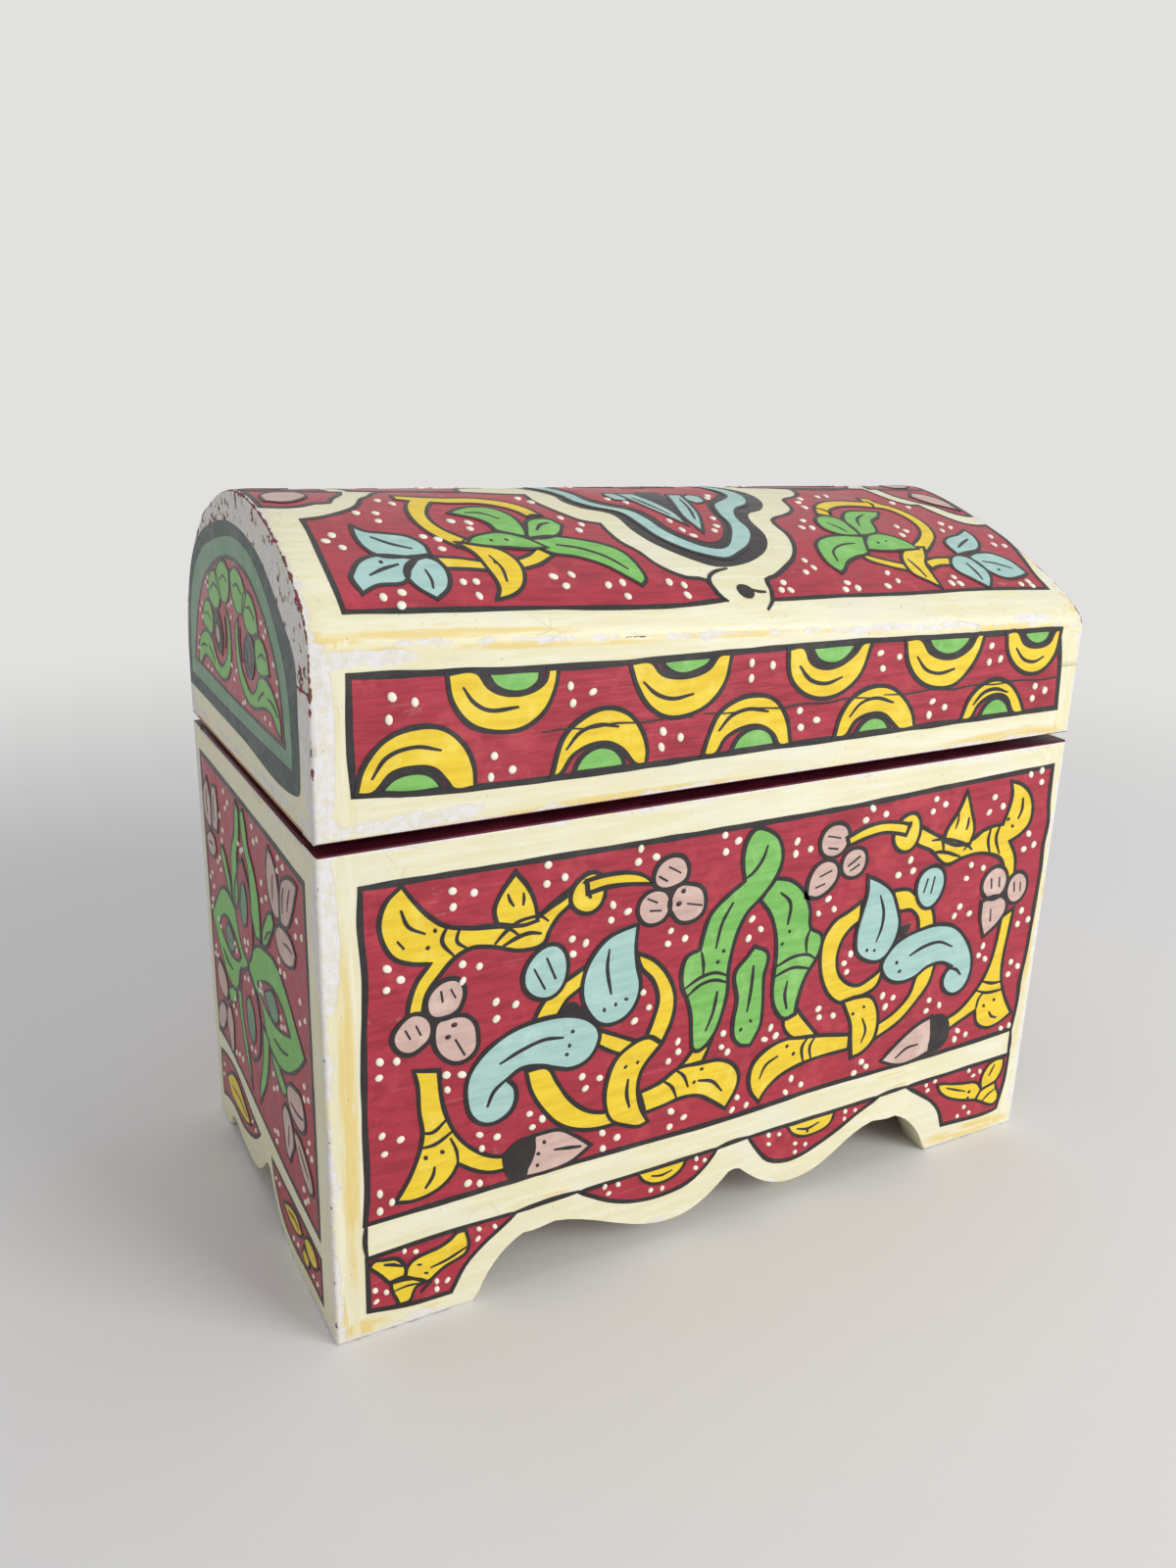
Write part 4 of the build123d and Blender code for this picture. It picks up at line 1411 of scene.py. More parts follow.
    p.blob("43 40.7, 47.3 43.8, 52 44.3, 52.2 39.3, 50 34.3, 48 32.1, 45 33.4, 43.6 36.4")
    p.shape(
        "pink",
        "162.5 36.4, 168.4 41.1, 175.6 45.4, 180.4 46.8, 181.2 40, 180.9 35, 175.6 33.6, 169.1 33.6",
    )
    p.blob("179.9 47, 184.9 46.4, 187.2 44.3, 187.6 37.1, 183.1 33.9, 180.6 35.7, 181 41")
    p.lines("57.3 38.2, 61 37.6, 65.1 36.9", "168 36, 172 38.4, 176.4 38.6")
    # Black dots on the shapes
    p.dots(
        "26.4 104.3, 24.6 100.4, 200.9 104.9, 202.9 102.5, 98.4 46.6, 100.6 50, 128.2 49.9, 130.6 47,"
        "77.3 56.6, 80.8 57, 150.4 54.6, 154.2 55.9, 23.3 46, 27.5 46.4, 201.1 45.5, 205.1 46.6,"
        "105.2 83.2, 103.6 80.4, 125.9 84.6, 123.8 81.4, 112.3 58.8, 115.3 60.7, 61.9 70.4, 61.1 66.7,"
        "60.4 64.4, 164.6 67.4, 166 64.4, 54.6 41.2, 53 38.3, 52.8 35, 138 20.4, 199.8 16.4, 199.6 14.4",
        "black",
        0.55,
    )
    p.dots("70.5 74.3, 73.7 75.1, 76.7 75.9, 153.1 73.6, 155.8 73", "black", 0.55, dot_lift + 0.06)
    # White dots in threes over the ground
    p.dots(
        "30.6 113.1, 35.8 111.8, 30.7 109.2, 54.4 115.4, 54.1 110.7, 58.8 111.6, 14.9 97.2, 18 93.9,"
        "14.6 92, 12.6 74.4, 16.6 73.6, 12.3 70.4, 32.9 94.6, 37.1 93.2, 32.9 90.3, 28.7 66.9, 32.6 66,"
        "28.9 62.9, 12.6 55, 17.1 52.8, 13.1 50, 11.7 39.6, 14.6 36.4, 11.6 34.8, 34 35.6, 37.1 34.6,"
        "37.1 48.3, 41.7 46.4, 37.7 44.3, 50.4 50.4, 51.2 46.4, 53.9 48, 41.3 83.1, 46.4 81.3, 41.4 78.6,"
        "61.1 95.3, 61.4 91.3, 64.8 93.5, 72 102.1, 71.6 98.2, 76.2 99.6, 64.8 57, 65.8 53.4, 69.8 55.3,"
        "71.1 39, 75.5 36.4, 71.4 34.3, 79.2 115.4, 78.6 112.1, 83.6 112.6, 103.4 115.1, 103.9 110.6,"
        "107.5 113, 88.8 92, 88.1 88.6, 93.1 89.1, 113.4 90.5, 116.4 87.1, 112.7 85.2, 126 109.9,"
        "125.8 106.5, 130.5 107.1, 137.9 91.7, 135 88, 140.2 88.3, 81.5 76.6, 83.4 72, 79.3 69.1, 92.6 60,"
        "92.9 57, 90 54.9, 106.7 59, 106.4 55, 108.4 53, 122.1 57, 124 54.1, 120.3 53.9, 137.9 59,"
        "138.4 56.3, 143.3 55.7, 91.6 39.6, 95.7 36.7, 91.4 35, 112.6 38.1, 111.2 34.6, 115.8 34.9,"
        "130.5 39.2, 134.1 36.4, 128.9 35.3, 145.4 71.2, 146.6 68.3, 147.4 73.6, 150.3 115.4, 155 113.1,"
        "148.2 112.4, 172.5 114.9, 176 112.9, 171.7 111.4, 194.4 112.4, 198 109.2, 192.9 108.1,"
        "207.4 117.4, 212.1 114.5, 211.6 118, 165.5 98.2, 161.6 94.4, 166.8 94.8, 188.6 92.9, 193.4 91.2,"
        "187.3 89, 209.8 99.1, 208.6 94.5, 212.5 95.3, 186.1 80.5, 184.4 77.9, 190.2 77.6, 211.3 74.6,"
        "210.4 70.4, 214.6 71.1, 197.4 65.9, 198.9 61.4, 196.1 63.1, 209.9 58.1, 213 56.1, 209.4 54.1,"
        "160.6 57.9, 162 54.1, 164.6 56.4, 178.6 52.4, 177.9 49.1, 182.8 49.9, 191.5 39.4, 190.7 36.7,"
        "195 37.3, 155.3 38.1, 152.9 35.1, 157.2 36.1, 209.6 35.9, 212.9 36.1",
    )
    p.dots(
        "17.4 21.6, 20.3 20.5, 36.9 21.4, 41.2 20.7, 36.6 18.6, 9.8 12.9, 10 9.6, 12.6 11.4, 25.6 9.9,"
        "28.4 9.2, 25.6 7.6, 72.4 22.4, 76.4 21.9, 73.6 20, 100.6 22.4, 103.3 21.2, 100.5 19.6, 86.5 16.9,"
        "90.1 16.4, 124.3 22.9, 128 22.1, 124.6 19.9, 133.9 17.4, 137.6 16.1, 134.1 14.6, 151.2 23,"
        "154.9 22.4, 151.1 20.6, 181.6 23.4, 182.4 21.5, 185 23.9, 198.5 24, 200.6 21.8, 203.2 22.6,"
        "198.4 11.4, 196.1 8.8, 200.8 8.8",
        size=0.75,
    )


def paint_lid_band(p):
    """The band of crescents round the lid, in (x, z)."""
    p.panel(
        "burgundy",
        "8.4 164.2, 30 163.1, 50 162.1, 73 161.4, 108 161.4, 143.7 160.9, 179.4 159.7, 210.9 159,"
        "212.8 148, 213.7 136.4, 120 136.4, 30 136.9, 8.7 138.5, 8.2 150",
        1.6,
    )
    for yellow, green, stroke in (
        (
            "29.8 162.8, 30.9 156.7, 35.1 151, 40.9 148.9, 48 149, 53 152.4, 55.7 158.1, 56.2 161.8,"
            "53.6 161.8, 53 159.2, 49.4 157.1, 43.7 157.1, 39.4 159.2, 36.6 162.6",
            "38.6 162.4, 40.9 158.9, 44.4 157.3, 48.7 157.3, 51.6 159.2, 52 161.8",
            "33.4 159.6, 35.9 156, 39.4 153.9, 46.6 153.9",
        ),
        (
            "74.4 161.2, 76.6 155.3, 80.1 150.3, 85.1 147.4, 90.9 147.4, 96.6 149.6, 100.5 153.9,"
            "102.2 161.2, 98.6 161.2, 96.4 158.6, 93.7 157.3, 88 156.7, 83 158.1, 80 161.2",
            "82.4 161.2, 84.4 158.9, 88.4 157.2, 93 157.8, 96.2 159.4, 97 161.2",
            "78 156.6, 81.6 153.4, 86 151.8, 92 152.4",
        ),
        (
            "118.7 161, 119.8 153.9, 123.7 149.6, 130.1 147.4, 136.6 148.5, 141.6 152.4, 144.8 160.8,"
            "141.9 160.8, 139.4 158.1, 135.1 155.6, 130.1 155.3, 125.9 157.1, 123.4 161",
            "125.4 161, 127.6 157.6, 131 156, 135 156.2, 138.6 158.6, 140 160.8",
            "122.4 156.4, 126 152.6, 131 151.2, 136 152.4",
        ),
        (
            "155.7 160.3, 157.3 153.9, 161.6 148.9, 167.3 146.6, 173.7 146.7, 178 149.6, 181.6 154.6,"
            "183 159.8, 180.4 159.8, 178.7 157.1, 174.4 154.6, 169.4 154.4, 164.4 156.4, 160.8 160.2",
            "163 160.2, 165.4 157, 169.6 155, 174 155.4, 177.4 157.6, 178.6 159.8",
            "160 155.6, 163.6 151.8, 168.4 150.4, 173.6 151.2",
        ),
        (
            "190.9 159.6, 192.3 153.9, 195.9 149.6, 200.9 147.3, 205.9 147.8, 210.1 151.7, 211.4 159,"
            "209.4 159, 207.3 155.6, 203 154.7, 198 156, 194.8 159.6",
            "196.6 159.4, 198.8 156.8, 203 155.2, 206.6 156.4, 207.8 159.2",
            "195 155, 198.4 151.6, 202.6 150.6, 206 151.8",
        ),
        (
            "9.1 138.6, 10.9 144.6, 15.9 149.9, 22.3 151.9, 28.7 151, 33.7 146.7, 35.9 141.7, 36.2 136.9,"
            "31.2 136.9, 29.4 139.2, 26.6 142.1, 22.3 143.1, 17.3 142.4, 12.8 138.4",
            "14 138.3, 17.4 141.4, 22 142.2, 26 141, 29 137.4, 20 137.4",
            "12.6 141.6, 16 146, 22.4 147.6, 28.4 146.2",
        ),
        (
            "54.9 136.7, 58 146, 62.3 149.6, 68 151.4, 73.7 149.9, 77.6 146, 79.8 140.3, 79.6 136.7,"
            "77.2 136.7, 73 141, 69.4 143, 64.4 143, 60.1 141, 56.6 136.7",
            "60.4 136.8, 62.4 140.4, 66.6 142.4, 70.6 141.6, 73.4 138.6, 73.8 136.8",
            "58.4 142.6, 62 146.4, 67 147.6, 72 146.6",
        ),
        (
            "95.3 136.6, 96.9 141.7, 99.4 146.7, 104.4 149.6, 108.7 150.3, 115.1 148.9, 119.4 143.9,"
            "121.4 136.6, 118 136.6, 115.9 139.6, 111.6 142.4, 106.6 142.4, 101.6 140.3, 99 136.6",
            "103.4 136.8, 105.8 140.4, 110.6 142, 115 140.4, 117 136.8",
            "99.6 142.4, 103 145.8, 108 147, 114 145.8",
        ),
        (
            "135 136.5, 136.6 142.4, 140.1 146.7, 145.9 148.9, 152.3 148.1, 157.3 144.6, 160.5 140.3,"
            "161.6 136.5, 156.4 136.5, 154.4 138.1, 150.9 141, 146.6 141.7, 141.6 140.3, 138.5 136.5",
            "141.6 136.6, 143.6 139.4, 147.4 141, 151.4 139.6, 153.4 136.6",
            "139.4 141.6, 142.6 144.8, 147.6 145.8, 153.6 144",
        ),
        (
            "177.8 136.5, 180.1 142.4, 183.7 145.6, 188.7 146.9, 193.7 145.6, 198 141.7, 201.1 136.5,"
            "197.2 136.5, 193.7 141.4, 188.7 142.4, 183.7 140.3, 181 136.5",
            "184.2 136.6, 186.4 140, 190 141.6, 193.8 140, 196 136.6",
            "181.6 140.4, 184.8 143.4, 189 144.2, 194 142.8",
        ),
    ):
        p.shape("yellow", yellow)
        p.shape("green", green, 0, 1.35)
        p.lines(stroke)
    # The crack along the joint under the paint
    p.lines(
        "52.4 147.4, 58 147.6, 64 147.1, 71 147.5, 79 146.9, 86 147.3, 92 146.8",
        "95.6 147.2, 103 146.6, 110 147, 118 146.3, 124 146.7, 131 146.2, 139 146.6, 146 146",
        "150 146.4, 158 145.9, 166 146.2, 174 145.6, 181 146, 189 145.5, 197 145.8, 205 145.2, 213 145.4",
        width=0.42,
        level=2,
    )
    p.fill(
        "cream",
        [Vector(c) for c in ((1.1,
        139),
        (8.1,
        139),
        (8.1,
        158),
        (1.1,
        158))],
        coat + border_lift,
    )
    p.dots(
        "17.5 159, 22.5 157.4, 16.7 154.2, 40.7 143.4, 45.1 139.7, 39.9 138.6, 59.2 157.4, 59.9 153.4,"
        "64.9 155.5, 83.9 144.1, 88.8 142.1, 83.6 140.3, 108 158.4, 108.1 154.6, 114.2 157.3, 123.4 145,"
        "124.1 140.6, 128.9 142, 147.6 157.5, 148.8 153.4, 154 156, 166.9 142.9, 166.2 139.3, 171.4 140.9,"
        "185.8 156.3, 185.6 151.9, 189.6 152.4, 204.1 143.5, 203.6 140.1, 208.1 141.9"
    )


def paint_dome(p):
    """The panels of the dome in (x, v): two leafy fields, a cartouche between them, a corner at each end."""
    p.panel(
        "burgundy",
        "9 7, 8.3 20, 8.7 37.5, 12.3 38.6, 18.4 41.8, 22.6 45, 24.8 47.9, 26.6 51.8, 29.4 54.6, 33 59.4,"
        "71.9 59.4, 71.6 53.6, 73 49.3, 75.9 44.3, 78.7 41.1, 83.4 39.6, 83.4 35.7, 84.4 30.7, 87.6 26,"
        "89.4 21.8, 92.3 18.6, 95.9 16.4, 100.9 15.5, 101.6 13.6, 102 11, 103 9, 90 7.5, 50 7.3",
        1.3,
    )
    p.panel(
        "burgundy",
        "116.9 8.8, 118.4 12.1, 119 15.7, 122.3 17.1, 128.7 21.4, 133 25, 136.6 30, 138.7 35.7, 139.1 44.6,"
        "147.3 49.3, 150.9 52.1, 152.6 56.4, 153.4 60, 160.9 64.3, 163.7 67.9, 165 74, 193 74, 193.4 69.3,"
        "195.1 63.6, 199.4 59.3, 203 59.3, 204.4 55, 207.3 50, 210.9 46.8, 215.1 45.7, 219 46, 219 35.4,"
        "217.3 28.6, 214.4 17.9, 214.4 12.5, 190 12.3, 160 10.6, 140 10",
        1.3,
    )
    # The quarter medallions at the ends
    p.panel(
        "burgundy",
        "1.6 44.6, 7.3 44.6, 10.9 45.7, 14.4 47.9, 18 48.6, 19.4 51.4, 23 56.4, 24 59.4, 1.6 59.4",
        1.3,
    )
    p.panel(
        "burgundy",
        "218.4 52.5, 216.6 52.3, 211.6 55, 209.4 58.6, 203.7 62.9, 200 67, 199 74, 218.4 74",
        1.3,
    )
    p.shape("pink", "3.4 48.6, 7.6 47.8, 12 50.4, 14.6 54.6, 13 58.2, 7.6 57.4, 4 54", 1, 0.9)
    p.shape("pink", "216.6 56, 213 58.6, 208.6 61.8, 206 66.6, 209 70.4, 213.6 68.4, 216.8 63.4", 1, 0.9)
    # The cartouche: a light blue band within a dark one, and a leafy heart
    p.panel(
        "black",
        "78 63.2, 80 58.6, 80.1 53.6, 83 49.3, 89.8 45.7, 90.9 37.1, 93 31.4, 96.6 27.1, 100.9 23.6,"
        "106.6 20.7, 113.7 21.4, 120.9 24.3, 127.3 29.3, 130.9 35.7, 131.6 44.3, 133.7 48.6, 139.4 51.4,"
        "143.7 56.4, 145.2 62, 144.4 67, 142 71.2, 110 67.2",
        0,
    )
    outer_edge = (
        "80.8 63.5, 82.2 58.6, 83 54, 86.4 50.2, 92.6 46.8, 94.6 40, 96.4 33.8, 100.2 29, 106 25.4, 112 24,"
        "117 26.6, 123 31, 127.6 38, 128.4 46, 131.6 51.6, 137.6 55.4, 141 61, 141.4 66.4, 139.2 70.8"
    )
    inner_edge = (
        "134.6 70.3, 135.8 66.4, 135.4 62.6, 131.6 59, 126 54.6, 123.6 48, 123 42, 119.6 35.4, 113.4 29,"
        "108.6 29.2, 104 32.6, 100.6 37.4, 99.2 43.6, 97 48.4, 91.4 51.4, 87.8 54.6, 86.8 60, 85.4 64.1"
    )
    p.shape("blue", f"{outer_edge}, {inner_edge}", 0, 0)
    p.lines(outer_edge, inner_edge, width=1.0, level=0)
    p.shape(
        "burgundy",
        "87.4 64.4, 88.4 60, 89.6 56.2, 93 53.4, 98.4 50.2, 101.4 45, 102.4 38.6, 105.6 34.4, 110.6 31.4,"
        "114.4 32.6, 118 36.6, 120.8 42, 121.6 48.6, 124.6 56, 130 60.4, 133 63.6, 133.4 67, 132.6 70,"
        "110 67.2",
        0,
        0,
    )
    p.blob("106.6 64, 106 56, 107.4 48, 110 43.4, 113 47.6, 114 56, 113.6 64", 0)
    p.shape("blue", "99.4 62, 101.6 54.6, 104.6 47.6, 109.2 39.6, 109.6 47, 107.4 55, 105 62", 1, 0.95)
    p.shape("blue", "120 62, 118.6 54.6, 116.4 46, 111.6 35.8, 110.8 44.6, 113 54, 115.6 62", 1, 0.95)
    p.shape("blue", "95.4 60, 96.4 56, 100 55.2, 100.6 58.6, 98.6 62, 96 62", 1, 0.9)
    p.shape("blue", "119.4 57.6, 121 54.8, 124.6 56.6, 125.4 61, 122.6 62.6, 120 60.6", 1, 0.9)
    p.lines("102.6 58, 104.6 52.6, 107.4 46", "117.4 58, 116 51, 113.6 43.6", width=0.8)
    # The dark spot and flicks at the cartouche's foot
    p.blob("110.4 14, 112.4 13, 112.7 11, 111.4 9.5, 109.4 9.6, 108.3 11.4, 108.8 13.4", 0)
    p.lines("109.5 20, 105 18.6, 102.3 16.4, 101.6 13.6, 102.2 10.6, 104 8.4", width=1.0, level=0)
    p.lines(
        "119 15.7, 118.4 12.1, 116.9 8.6, 114.2 5.8",
        "112.2 12.4, 114 11.6, 116.4 11.4",
        width=1.0,
        level=0,
    )
    # The left field
    for level, text in (
        (
            0,
            "35.4 55.6, 40.9 54.7, 48 54.3, 55.4 54.7, 62.4 52.6, 67 48.6, 69.2 43.4, 64.8 42.2, 63.2 45.6,"
            "59.6 48.8, 54.8 50.3, 48 49.9, 43.4 50.3, 40.4 45.4, 38.8 40, 39.8 35, 42.6 31.6, 45.6 29,"
            "43.2 25.2, 39.2 28.4, 35.6 33.4, 34.4 40, 35.8 47, 38 51.2, 35 52.2",
        ),
        (0, "33.7 22.9, 39.4 22.5, 46 21.1, 46 18.2, 40.9 18.7, 35.1 18.9"),
        (0, "52 22, 53.4 22.4, 57.3 24.3, 60.4 27, 63.4 24, 58.7 20.7, 52.6 18.6"),
        (
            1,
            "40.9 28.6, 43.7 24.3, 44.8 19.3, 45.5 12.9, 43.7 9.4, 48 10.7, 51.6 13.6, 53.6 19.3,"
            "52.6 23.6, 50.1 26.4, 45.1 27.9",
        ),
        # The right field
        (
            0,
            "157.8 50, 160.6 55, 166.4 59.2, 173.4 60.7, 182.5 60.3, 183 63.6, 186.6 63.4, 187.6 59.4,"
            "190.4 57.6, 193.6 52.2, 194.5 45, 192 38.2, 186.4 32.6, 181 28.4, 178 31.8, 183.8 36,"
            "188.2 40.4, 190.1 45.2, 189.6 50.6, 187 55, 182.1 56.1, 174 56.5, 168.2 55, 164 52.2,"
            "161.8 48.4",
        ),
        (0, "157 27.6, 163 24.8, 169.4 22.6, 168.6 19.6, 162.6 21.6, 157 25"),
        (0, "177 24.6, 182 26, 187.4 26.4, 187.4 22.6, 182 22.4, 177.4 20.8"),
        (
            1,
            "168.7 18.6, 169.1 23.6, 171.6 27.9, 175.9 30.7, 182.3 31.4, 179.4 26.4, 176.6 22.9,"
            "175.5 17.9, 174.8 12.6, 172.3 15",
        ),
    ):
        p.shape("yellow", text, level, 1.0)
    for text in (
        "18.7 35.2, 18 30, 18.7 25.7, 20.9 22.9, 29.4 22.9, 33 23.6, 33 27.1, 30.1 30.7, 25.1 31.8,"
        "20.8 32.6",
        "12.8 15.9, 14.1 11.4, 18 13.6, 24.4 14.6, 26.6 18.6, 29.4 22.1, 20.1 22.9, 15.9 20.7, 13.4 17.1",
        "30.1 22.1, 26.6 20, 25.1 16.4, 26.6 12.9, 30.1 9.8, 33.7 12.9, 35 17.9, 33.7 21.4, 31.6 22.5",
        "192.3 27.9, 192.6 34.3, 195.9 37.1, 200.9 38.9, 206.8 42.3, 207.3 38.6, 205.9 34.3, 202.3 30.7,"
        "197.3 29.3",
        "192.3 12.6, 188.7 16.4, 185.5 20.7, 187.3 25, 191.6 27.5, 195.1 26.4, 197.1 22.1, 196.6 17.9,"
        "193.7 13.9",
        "195.5 27.1, 200.1 28.9, 205.9 28.9, 210.1 25.7, 211.9 19, 208 17.5, 201.6 16.8, 198 19.3",
    ):
        p.shape("blue", text, 1, 1.0)
    p.lines(
        "21.4 30, 25 27.4, 29.6 25.6",
        "17 16.4, 20.6 18.4, 24.6 20",
        "30 18.4, 30.4 15, 30 12.6",
        "195.4 31.6, 199 34, 203.4 36.6",
        "192 23.6, 192.4 19.4, 192.2 16",
        "199 24.6, 203.4 23.6, 207.8 21.4",
        "64.8 42.2, 66.6 43.4, 69.2 43.4",
        "47 23.6, 48.4 19, 48 14.6",
        "43.6 29.8, 41.6 27.8, 40.4 26.4",
        "171.6 25, 172.2 21, 172.4 17",
        "160.4 54, 162.4 52.6, 163.6 50.4",
        "183.4 56.4, 184.4 58.4, 183.8 61",
        width=0.85,
    )
    for level, text in (
        (
            1,
            "44.8 43.2, 48 45.7, 52.3 47.5, 57.3 47.1, 60.5 42.9, 61.2 37.1, 60.1 31.4, 56.6 32.9,"
            "53.4 34.3, 52.6 37.9, 50.1 40.7, 46.6 42.3",
        ),
        (1, "59.4 30.7, 61.6 35.7, 63.7 40, 67.3 41.4, 70.1 41.1, 72.2 38, 69.4 33.6, 65.9 31.6"),
        (
            1,
            "60.1 31.1, 66.6 32.3, 73.7 31.1, 80.1 28.6, 83 25.7, 84.4 19.3, 84.1 15.4, 82.1 13.6,"
            "79.4 16.4, 75.1 20.7, 69.4 23.6, 62.7 25.4",
        ),
        (2, "43.5 28, 45.5 30.7, 49.4 32.5, 53 33.4, 58.7 31.4, 63.2 27.1, 58.7 26.4, 53 26.8, 48 27.1"),
        (1, "153.7 40, 153.7 44.3, 155.9 47.5, 159.4 48.6, 163 47.1, 164.4 42.1, 163.7 36.8, 157.3 37.1"),
        (
            1,
            "164.1 37.1, 164.1 44.3, 166.6 49.3, 170.1 52.1, 175.9 52.9, 182.3 52.5, 179.4 49.3,"
            "174.4 45.7, 172.6 41.4, 170.9 38.8, 167.3 37.5",
        ),
        (
            1,
            "144.4 18.5, 142.6 22.1, 143 27.1, 145.1 32.1, 150.1 35.4, 158 36.8, 164.4 36.4, 161.6 30.7,"
            "160.1 27.9, 154.4 25.7, 149.4 22.9, 146.6 20",
        ),
        (2, "160.8 29.4, 163 33.6, 166.6 37.1, 172.3 38.1, 178 34.3, 179.6 30.3, 174.4 29.6, 168 28.9"),
    ):
        p.shape("green", text, level, 1.0)
    p.lines(
        "49 43.4, 53 43.6, 56.6 40.4",
        "64 35, 66.4 38, 69 39",
        "66 28.4, 72 27, 77.4 23.6, 81 19",
        "157 44, 159 41.6, 160.4 38.6",
        "167.6 42.6, 170 47, 174.6 50.2",
        "146.4 23.4, 148 28, 153 31.4, 158.6 32.6",
        width=0.85,
    )
    p.dots(
        "22.1 41.8, 26.7 41.9, 25.9 37.6, 10.9 28, 13 30.4, 13.9 25.6, 30.2 50.7, 33 48.5, 43.6 38.6,"
        "47.8 38, 46.9 34.9, 33.9 30.7, 37.1 29.7, 36.6 25.8, 37.5 14.6, 40.6 14.7, 39.9 10.6, 18.2 10.4,"
        "22.6 11.6, 21.6 8.3, 60.1 16.4, 65 17.1, 62.1 13.4, 73.1 13.7, 77.2 14.5, 76.8 10.2, 90 14.7,"
        "93.7 13.7, 93.1 10.4, 73.6 42.1, 77.7 38.7, 75.6 35.6, 68.1 55.1, 70.4 52.3, 146.1 40.7,"
        "149.4 44.9, 149.6 40.7, 135.6 23.7, 136.6 20.6, 132.9 18.7, 123.3 14.6, 124.1 11.9, 121.3 12,"
        "143.6 14.6, 141.6 12.1, 145.9 12.6, 159.8 18.7, 161.2 15.4, 156.4 13.4, 182.2 17.1, 179.6 14.6,"
        "182.6 14.4, 208.9 15.4, 205.3 14.2, 209.1 13.6, 200.6 45.9, 197.4 41.4, 202.4 43.6, 214.2 38.7,"
        "211.4 34, 215.1 33.4, 181.4 43.1, 182.9 40.5, 179.5 38, 157.1 58.2, 156.6 54.3, 160 61.3,"
        "167.9 63.6, 171.8 64.6, 193.4 60.2, 197.1 57.1, 105.9 37.3, 104.9 42.2, 107.6 34.4, 98.5 53.9,"
        "94.3 56.4, 118 40, 115.8 37.4, 119.7 44.6, 128.7 61.8, 127.1 59.4"
    )
    p.dots("50 29.6, 54 30, 167 33, 170.6 34, 47.6 21, 20.8 20.6, 202 20.6", "black", 0.5)


# The end of the lid: rings of border, and leafy volutes. Heights are those of the left end
def end_warp(face, x):
    """The face at an end, with the left end's heights carried over to that end's own arch."""

    shares = [arch_top(x, y) / arch_top(0, y) for y in range(int(depth) + 1)]

    def place(u, v):
        if v > lid_base:
            low = min(max(int(u), 0), len(shares) - 2)
            v = lid_base + (v - lid_base) * (shares[low] + (shares[low + 1] - shares[low]) * (u - low))
        return face(u, v)

    return place


def end_coat(name, face, x):
    """The border's paint over an end of the lid, a little inside the arch."""
    inset = 1.3
    steps = 48
    nearby = 0.01
    arch = []
    for i in range(steps + 1):
        t = i / steps
        here, ahead, behind = arch_at(x, t), arch_at(x, min(t + nearby, 1)), arch_at(x, max(t - nearby, 0))
        along = (Vector(ahead) - Vector(behind)).normalized()
        arch.append(Vector(here) + Vector((along.y, -along.x)) * inset)
    arch = [p for p in arch if inset <= p.x <= depth - inset]
    foot = lid_base + 1.0
    outline = [Vector((inset, foot)), Vector((inset, arch[0].y)), *arch, Vector((depth - inset, arch[-1].y))]
    outline.append(Vector((depth - inset, foot)))
    coat_of_end = Painting(name, face, "lid")
    coat_of_end.fill("cream", outline, coat + border_lift)
    coat_of_end.finish()


def arch_top(x, y):
    """How high the arch stands above the lid's base at x and y."""
    t = turning_point(0.0, 1.0, lambda t: arch_at(x, t)[0] >= y)
    return arch_at(x, t)[1] - lid_base


def mirrored(text, middle, share=1.0):
    """The outline turned over about u = middle, and drawn in towards it by the share."""
    return ",".join(f"{middle + (middle - u) * share:.1f} {v}" for u, v in path(text))


